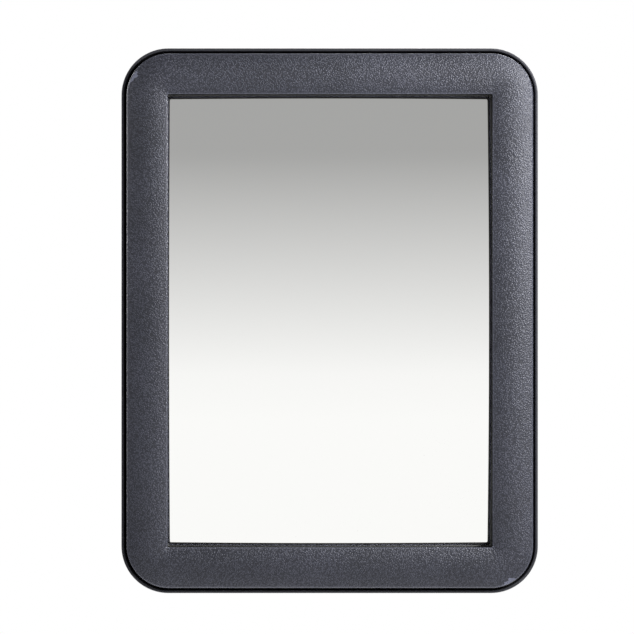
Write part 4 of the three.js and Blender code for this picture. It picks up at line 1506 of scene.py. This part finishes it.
# %% Matt bodies
def matt_body(name, tone, light_tone, size, stretch, relief, roughness, cells, glow):
    """size is the pattern's in metres and stretch its scale along each axis. cells is the share
    of round cells in the pattern against fibres, and glow how far light enters the body."""
    material = new_finish(name)
    nodes, links = material.node_tree.nodes, material.node_tree.links
    pattern_frame = nodes.new("NodeFrame")
    pattern_frame.label = "Pattern: fibres and cells"
    where = nodes.new("ShaderNodeTexCoord")
    where.label = "Place on the piece"
    laid = nodes.new("ShaderNodeMapping")
    laid.label = "Pattern laid along the sheet"
    fibres = nodes.new("ShaderNodeTexNoise")
    fibres.label = "Fibres"
    cell = nodes.new("ShaderNodeTexVoronoi")
    cell.label = "Cells"
    pattern = nodes.new("ShaderNodeMix")
    pattern.label = "Fibres against cells"
    for node, spot in (
            (where, (-1300, 0)), (laid, (-1100, 0)), (fibres, (-860, 100)), (cell, (-860, -200)),
            (pattern, (-620, 0))):
        node.parent = pattern_frame
        node.location = spot
    finish_frame = nodes.new("NodeFrame")
    finish_frame.label = "Colour, bloom, gloss and relief"
    tone_mix = nodes.new("ShaderNodeMix")
    tone_mix.label = "Two tones of the body"
    bloom = nodes.new("ShaderNodeTexNoise")
    bloom.label = "Patches of age and handling"
    bloom_value = nodes.new("ShaderNodeMapRange")
    bloom_value.label = "How much a patch shows"
    aged = nodes.new("ShaderNodeHueSaturation")
    aged.label = "Body with patches"
    gloss = nodes.new("ShaderNodeMapRange")
    gloss.label = "Gloss follows the pattern"
    body_bump = nodes.new("ShaderNodeBump")
    body_bump.label = "Pattern as relief"
    for node, spot in (
            (tone_mix, (-380, 300)), (bloom, (-620, 500)), (bloom_value, (-380, 560)),
            (aged, (-140, 340)), (gloss, (-380, 0)), (body_bump, (-380, -300))):
        node.parent = finish_frame
        node.location = spot
    body = nodes.new("ShaderNodeBsdfPrincipled")
    body.label = "Matt body"
    body.location = (140, 200)
    surface = nodes.new("ShaderNodeOutputMaterial")
    surface.label = "Surface"
    surface.location = (440, 200)
    laid.inputs["Scale"].default_value = stretch
    fibres.inputs["Scale"].default_value = 1 / size
    fibres.inputs["Detail"].default_value = 5.0
    cell.inputs["Scale"].default_value = 1 / size
    pattern.inputs["Factor"].default_value = cells
    tone_mix.data_type = "RGBA"
    tone_mix.inputs[6].default_value = (*tone, 1)
    tone_mix.inputs[7].default_value = (*light_tone, 1)
    bloom.inputs["Scale"].default_value = 70
    bloom.inputs["Detail"].default_value = 4.0
    bloom_value.inputs["To Min"].default_value = 0.8
    bloom_value.inputs["To Max"].default_value = 1.2
    gloss.inputs["To Min"].default_value = roughness + 0.08
    gloss.inputs["To Max"].default_value = roughness - 0.08
    body_bump.inputs["Strength"].default_value = 0.8
    body_bump.inputs["Distance"].default_value = relief
    body.inputs["Subsurface Weight"].default_value = glow
    body.inputs["Subsurface Scale"].default_value = 1 * MM
    links.new(where.outputs["Object"], laid.inputs["Vector"])
    links.new(laid.outputs["Vector"], fibres.inputs["Vector"])
    links.new(laid.outputs["Vector"], cell.inputs["Vector"])
    links.new(fibres.outputs["Fac"], pattern.inputs[2])
    links.new(cell.outputs["Distance"], pattern.inputs[3])
    links.new(pattern.outputs[0], tone_mix.inputs["Factor"])
    links.new(where.outputs["Object"], bloom.inputs["Vector"])
    links.new(bloom.outputs["Fac"], bloom_value.inputs["Value"])
    links.new(tone_mix.outputs[2], aged.inputs["Color"])
    links.new(bloom_value.outputs["Result"], aged.inputs["Value"])
    links.new(aged.outputs["Color"], body.inputs["Base Color"])
    links.new(pattern.outputs[0], gloss.inputs["Value"])
    links.new(gloss.outputs["Result"], body.inputs["Roughness"])
    links.new(pattern.outputs[0], body_bump.inputs["Height"])
    links.new(body_bump.outputs["Normal"], body.inputs["Normal"])
    links.new(body.outputs["BSDF"], surface.inputs["Surface"])


matt_body(
    "gasket_rubber", tone=(0.003, 0.003, 0.003), light_tone=(0.009, 0.009, 0.009), size=0.35 * MM,
    stretch=(1, 1, 1), relief=0.02 * MM, roughness=0.7, cells=0.2, glow=0)
matt_body(
    "washer_nylon", tone=(0.62, 0.60, 0.54), light_tone=(0.76, 0.75, 0.70), size=1.2 * MM,
    stretch=(1, 1, 3), relief=0.01 * MM, roughness=0.42, cells=0.1, glow=0.25)
matt_body(
    "pad_foam", tone=(0.10, 0.10, 0.105), light_tone=(0.24, 0.24, 0.25), size=0.6 * MM,
    stretch=(1, 1, 1), relief=0.25 * MM, roughness=0.9, cells=0.85, glow=0)
matt_body(
    "backing_hardboard", tone=(0.11, 0.062, 0.03), light_tone=(0.24, 0.15, 0.085), size=0.8 * MM,
    stretch=(0.4, 2.4, 1), relief=0.06 * MM, roughness=0.72, cells=0.15, glow=0)
print("matt bodies made")

# %% [markdown]
# ## Finishing the pieces
#
# Now each piece gets its finish and its body, and the mechanical node that it stands for is
# hidden. The repeated ones are copied to their places first: six case screws, four bracket screws
# and four nuts on the head, and one set of pivot hardware for each of the two pivots.

# %% The head's own pieces
finish_piece(bezel, "bezel_moulding", "bezel_plastic", "mirror_head", "front_bezel")
finish_piece(tray, "tray_moulding", "tray_plastic", "mirror_head", "rear_tray")
finish_piece(pane, "domed_pane", "mirror_glass", "mirror_head", "mirror_pane")
finish_piece(gasket, "glazing_ring", "gasket_rubber", "mirror_head", "pane_gasket")
finish_piece(foam_pad, "foam_pad", "pad_foam", "mirror_head", "backing_pad")
finish_piece(board, "hardboard_panel", "backing_hardboard", "mirror_head", "backing_board")

# %% [markdown]
# The wall that drops from the bezel's face to the pane comes out of the mould smooth, because a
# grain there would tear as the part is pushed out. Its near-black, hardly reflecting finish is
# painted shade: it stands in for the shadow in the deep reveal and for the dark band that the
# pane reflects of it. It is the same moulding, so it stays one piece with a second finish.

# %% Painted shade: matt black on the wall round the window
# Painted shade: this near-black finish with almost no reflection stands in for the shadow in the
# reveal.
moulded_plastic(
    "painted_shade_reveal", tone=(0.002, 0.002, 0.002), light_tone=(0.004, 0.004, 0.004), grain=0.3 * MM,
    relief=0.003 * MM, roughness=0.7, shine=0.03, dust=0.0)
bezel.data.materials.append(finishes["painted_shade_reveal"])
edit(bezel)


def in_window_wall(face):
    spot = face.calc_center_median()
    inside = abs(spot.x) < WINDOW_X + 0.2 * MM and abs(spot.z) < WINDOW_Z + 0.2 * MM
    return inside and spot.y > FACE_Y + 0.4 * MM


painted_shade_faces = pick("FACE", in_window_wall)
bezel.active_material_index = 1
bpy.ops.object.material_slot_assign()
leave_edit()
print("faces painted black as shade:", painted_shade_faces)

# %% Screws and nuts, each copied to its places
screw_seat = FACE_Y + floor_outside - 2.5 * MM
bracket_screw_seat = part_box("bracket_screw_1")[1].y - 2.5 * MM
print("seats:", screw_seat, bracket_screw_seat, "nut at", nut_low.y)
for number, spot in enumerate(screw_places, start=1):
    screw = copy_of(case_screw, f"case_fixing_{number}")
    place(screw, (spot.x, screw_seat, spot.z))
    finish_piece(
        screw, f"case_fixing_{number}", "zinc_steel", "mirror_head", f"case_screw_{number}")
for number, spot in enumerate(nut_places, start=1):
    screw = copy_of(bracket_screw, f"bracket_fixing_{number}")
    place(screw, (spot.x, bracket_screw_seat, spot.z))
    finish_piece(
        screw, f"bracket_fixing_{number}", "zinc_steel", "mirror_head", f"bracket_screw_{number}")
    nut = copy_of(captive_nut, f"hexagon_nut_{number}")
    place(nut, (spot.x, nut_low.y, spot.z))
    finish_piece(
        nut, f"hexagon_nut_{number}", "zinc_steel", "mirror_head", f"captive_nut_{number}")
for pattern_piece in (case_screw, bracket_screw, captive_nut):
    bpy.data.objects.remove(pattern_piece, do_unlink=True)

# %% The bracket's castings
finish_piece(head_bracket, "head_casting", "bracket_coat", "mirror_head", "head_bracket")
finish_piece(wall_bracket, "wall_casting", "bracket_coat", "wall_mount", "wall_bracket")
finish_piece(arm, "arm_casting", "bracket_coat", "swivel", "swivel_arm")

# %% Both sets of pivot hardware
pivots = {
    "tilt": (
        tilt_centre, (0, 0, -QUARTER), (0, 0, QUARTER), "mirror_head", "right", "left"),
    "pan": (
        pan_centre, (-QUARTER, 0, QUARTER), (QUARTER, 0, QUARTER), "wall_mount", "lower", "upper"),
}
for pivot, (centre, turn, other_turn, holder, near, far) in pivots.items():
    hardware = [
        (bolt, "coach_bolt", turn, "zinc_steel", holder, f"{pivot}_bolt"),
        (flat_washer, "plain_ring", turn, "zinc_steel", holder, f"{pivot}_flat_washer"),
        (spring_washer, "split_ring", turn, "zinc_steel", holder, f"{pivot}_spring_washer"),
        (knob, "star_knob", turn, "knob_plastic", f"{pivot}_knob_body", f"{pivot}_knob"),
        (bush, "knob_bush", turn, "insert_brass", f"{pivot}_knob_body", f"{pivot}_knob_insert"),
        (friction_washer, f"friction_ring_{near}", turn, "washer_nylon", "swivel",
         f"{pivot}_friction_washer_{near}"),
        (friction_washer, f"friction_ring_{far}", other_turn, "washer_nylon", "swivel",
         f"{pivot}_friction_washer_{far}"),
    ]
    for source, name, rotation, slot, body, node in hardware:
        piece = copy_of(source, f"{pivot}_{name}")
        piece.rotation_euler = rotation
        place(piece, centre)
        finish_piece(piece, f"{pivot}_{name}", slot, body, node)
for pattern_piece in (bolt, flat_washer, spring_washer, knob, bush, friction_washer):
    bpy.data.objects.remove(pattern_piece, do_unlink=True)

# %% [markdown]
# ## Floor, lights and camera
#
# The mirror shows whatever stands in front of it, so the surroundings matter more than the lamps.
# They are bright below and greyer above, with an even change between, and the pane shows that
# change upside up. Dark cloths at both sides keep the frame dark. Behind the object the same
# surroundings look plain white. The floor is a pale disc that fades out before its edge, so no
# horizon shows. One soft lamp stands at the right, a little in front and above, two weak ones
# open up the left and the underside, and two more light the back.

# %% Floor
FLOOR_LEVEL = -0.30
deselect_all()
bpy.ops.mesh.primitive_circle_add(
    vertices=96, radius=0.52, fill_type="NGON", location=(0, -0.05, FLOOR_LEVEL))
floor = bpy.context.object
floor.name = "studio_floor"
floor_paper = new_finish("floor_paper")
nodes, links = floor_paper.node_tree.nodes, floor_paper.node_tree.links
where = nodes.new("ShaderNodeTexCoord")
where.label = "Place on the floor"
where.location = (-900, 0)
from_middle = nodes.new("ShaderNodeVectorMath")
from_middle.label = "Distance from the middle"
from_middle.location = (-700, 100)
fade = nodes.new("ShaderNodeMapRange")
fade.label = "Fades out before the edge"
fade.location = (-500, 100)
mottle = nodes.new("ShaderNodeTexNoise")
mottle.label = "Mottle of the paper"
mottle.location = (-700, -200)
paper_tone = nodes.new("ShaderNodeMix")
paper_tone.label = "Pale paper"
paper_tone.location = (-500, -200)
paper = nodes.new("ShaderNodeBsdfPrincipled")
paper.label = "Paper"
paper.location = (-260, -100)
clear = nodes.new("ShaderNodeBsdfTransparent")
clear.label = "Nothing"
clear.location = (-260, 160)
faded = nodes.new("ShaderNodeMixShader")
faded.label = "Paper that fades out"
faded.location = (60, 60)
surface = nodes.new("ShaderNodeOutputMaterial")
surface.label = "Surface"
surface.location = (260, 60)
from_middle.operation = "LENGTH"
fade.interpolation_type = "SMOOTHSTEP"
fade.inputs["From Min"].default_value = 0.2
fade.inputs["From Max"].default_value = 0.5
mottle.inputs["Scale"].default_value = 300
paper_tone.data_type = "RGBA"
paper_tone.inputs[6].default_value = (0.78, 0.78, 0.78, 1)
paper_tone.inputs[7].default_value = (0.82, 0.82, 0.81, 1)
paper.inputs["Roughness"].default_value = 0.9
links.new(where.outputs["Object"], from_middle.inputs[0])
links.new(from_middle.outputs["Value"], fade.inputs["Value"])
links.new(where.outputs["Object"], mottle.inputs["Vector"])
links.new(mottle.outputs["Fac"], paper_tone.inputs["Factor"])
links.new(paper_tone.outputs[2], paper.inputs["Base Color"])
links.new(fade.outputs["Result"], faded.inputs["Fac"])
links.new(paper.outputs["BSDF"], faded.inputs[1])
links.new(clear.outputs["BSDF"], faded.inputs[2])
links.new(faded.outputs["Shader"], surface.inputs["Surface"])
floor.data.materials.append(floor_paper)
floor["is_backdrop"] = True

# %% Surroundings
world = bpy.data.worlds.new("studio")
bpy.context.scene.world = world
world.use_nodes = True
nodes, links = world.node_tree.nodes, world.node_tree.links
nodes.clear()
direction = nodes.new("ShaderNodeTexCoord")
direction.label = "Direction"
direction.location = (-900, 0)
level = nodes.new("ShaderNodeSeparateXYZ")
level.label = "Sine of the elevation"
level.location = (-700, 0)
level_range = nodes.new("ShaderNodeMapRange")
level_range.label = "From straight down to straight up"
level_range.location = (-500, 0)
sideways = nodes.new("ShaderNodeMath")
sideways.label = "How far to either side"
sideways.location = (-700, -300)
aside = nodes.new("ShaderNodeMapRange")
aside.label = "A dark cloth hangs at each side"
aside.location = (-500, -300)
shade = nodes.new("ShaderNodeValToRGB")
shade.label = "Bright below, grey above"
shade.location = (-300, 0)
lit = nodes.new("ShaderNodeMix")
lit.label = "Gradient times cloth"
lit.location = (-20, -300)
room = nodes.new("ShaderNodeBackground")
room.label = "What pieces reflect"
room.location = (20, 0)
backdrop = nodes.new("ShaderNodeBackground")
backdrop.label = "Plain white behind the object"
backdrop.location = (20, -160)
ray = nodes.new("ShaderNodeLightPath")
ray.label = "Seen straight or reflected"
ray.location = (20, 400)
chosen = nodes.new("ShaderNodeMixShader")
chosen.label = "Backdrop or room"
chosen.location = (260, 100)
sky = nodes.new("ShaderNodeOutputWorld")
sky.label = "Surroundings"
sky.location = (460, 100)
level_range.inputs["From Min"].default_value = -1.0
sideways.operation = "ABSOLUTE"
aside.inputs["From Min"].default_value = 0.3
aside.inputs["From Max"].default_value = 0.75
aside.inputs["To Min"].default_value = 1.0
aside.inputs["To Max"].default_value = 0.3
lit.data_type = "RGBA"
lit.blend_type = "MULTIPLY"
lit.inputs["Factor"].default_value = 1.0


def ramp_place(degrees):
    return 0.5 + math.sin(math.radians(degrees)) / 2


stops = shade.color_ramp.elements
stops[0].position = ramp_place(-35)
stops[0].color = (0.3, 0.3, 0.297, 1)
stops[1].position = 1.0
stops[1].color = (0.08, 0.08, 0.08, 1)
for degrees, brightness in (
        (-17, 1.0), (-5, 1.0), (-2.6, 0.965), (8.3, 0.398), (14, 0.39), (27, 0.09)):
    stop = stops.new(ramp_place(degrees))
    stop.color = (brightness, brightness, 0.994 * brightness, 1)
backdrop.inputs["Color"].default_value = (1, 1, 1, 1)
links.new(direction.outputs["Generated"], level.inputs["Vector"])
links.new(level.outputs["Z"], level_range.inputs["Value"])
links.new(level_range.outputs["Result"], shade.inputs["Fac"])
links.new(level.outputs["X"], sideways.inputs[0])
links.new(sideways.outputs["Value"], aside.inputs["Value"])
links.new(shade.outputs["Color"], lit.inputs[6])
links.new(aside.outputs["Result"], lit.inputs[7])
links.new(lit.outputs[2], room.inputs["Color"])
links.new(ray.outputs["Is Camera Ray"], chosen.inputs["Fac"])
links.new(room.outputs["Background"], chosen.inputs[1])
links.new(backdrop.outputs["Background"], chosen.inputs[2])
links.new(chosen.outputs["Shader"], sky.inputs["Surface"])


# %% Lamps
def soft_lamp(name, spot, width, height, power):
    """An area lamp at a spot, turned to the middle of the mirror."""
    deselect_all()
    bpy.ops.object.light_add(type="AREA", location=spot)
    lamp = bpy.context.object
    lamp.name = name
    lamp.data.shape = "RECTANGLE"
    lamp.data.size = width
    lamp.data.size_y = height
    lamp.data.energy = power
    aim = Vector((0, FACE_Y, 0)) - Vector(spot)
    lamp.rotation_euler = aim.to_track_quat("-Z", "Y").to_euler()
    return lamp


soft_lamp("key_lamp", (0.33, -0.38, 0.19), 0.14, 0.2, 4.6)
soft_lamp("left_lamp", (-0.45, -0.24, 0.22), 0.1, 0.1, 0.8)
soft_lamp("low_lamp", (0.0, -0.115, -0.28), 0.4, 0.05, 0.15)
soft_lamp("back_lamp", (0.4, 0.8, 0.7), 0.8, 0.6, 16)
soft_lamp("left_back_lamp", (-0.9, 0.6, 0.3), 0.6, 0.6, 9)

# %% Camera
VIEW_DISTANCE = 0.9
CAMERA_ASIDE = -0.033
CAMERA_UP = 0.0
VIEW_WIDTH = 0.2486
SENSOR = 36
deselect_all()
bpy.ops.object.camera_add(
    location=(CAMERA_ASIDE, FACE_Y - VIEW_DISTANCE, CAMERA_UP), rotation=(QUARTER, 0, 0))
camera = bpy.context.object
camera.data.sensor_width = SENSOR
camera.data.lens = SENSOR * VIEW_DISTANCE / VIEW_WIDTH
FRAME_RIGHT = 0.0205
FRAME_DOWN = 0.0059
camera.data.shift_x = -CAMERA_ASIDE / VIEW_WIDTH - FRAME_RIGHT
camera.data.shift_y = -CAMERA_UP / VIEW_WIDTH + FRAME_DOWN
camera.data.clip_start = 0.01
bpy.context.scene.camera = camera
bpy.context.scene.view_settings.view_transform = "Standard"
print("lens", camera.data.lens, "shift", camera.data.shift_x, camera.data.shift_y)

# %% [markdown]
# ## Sizes and the end
#
# Both boxes, the mechanical model's and the new model's, are printed at the end. The new
# model has to stay in the mechanical model's box.

# %% Print both boxes and finish
size = {
    "cad": [[float(value) for value in corner] for corner in cad_box],
    "visual": [[float(value) for value in corner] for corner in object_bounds()],
}
print(size)
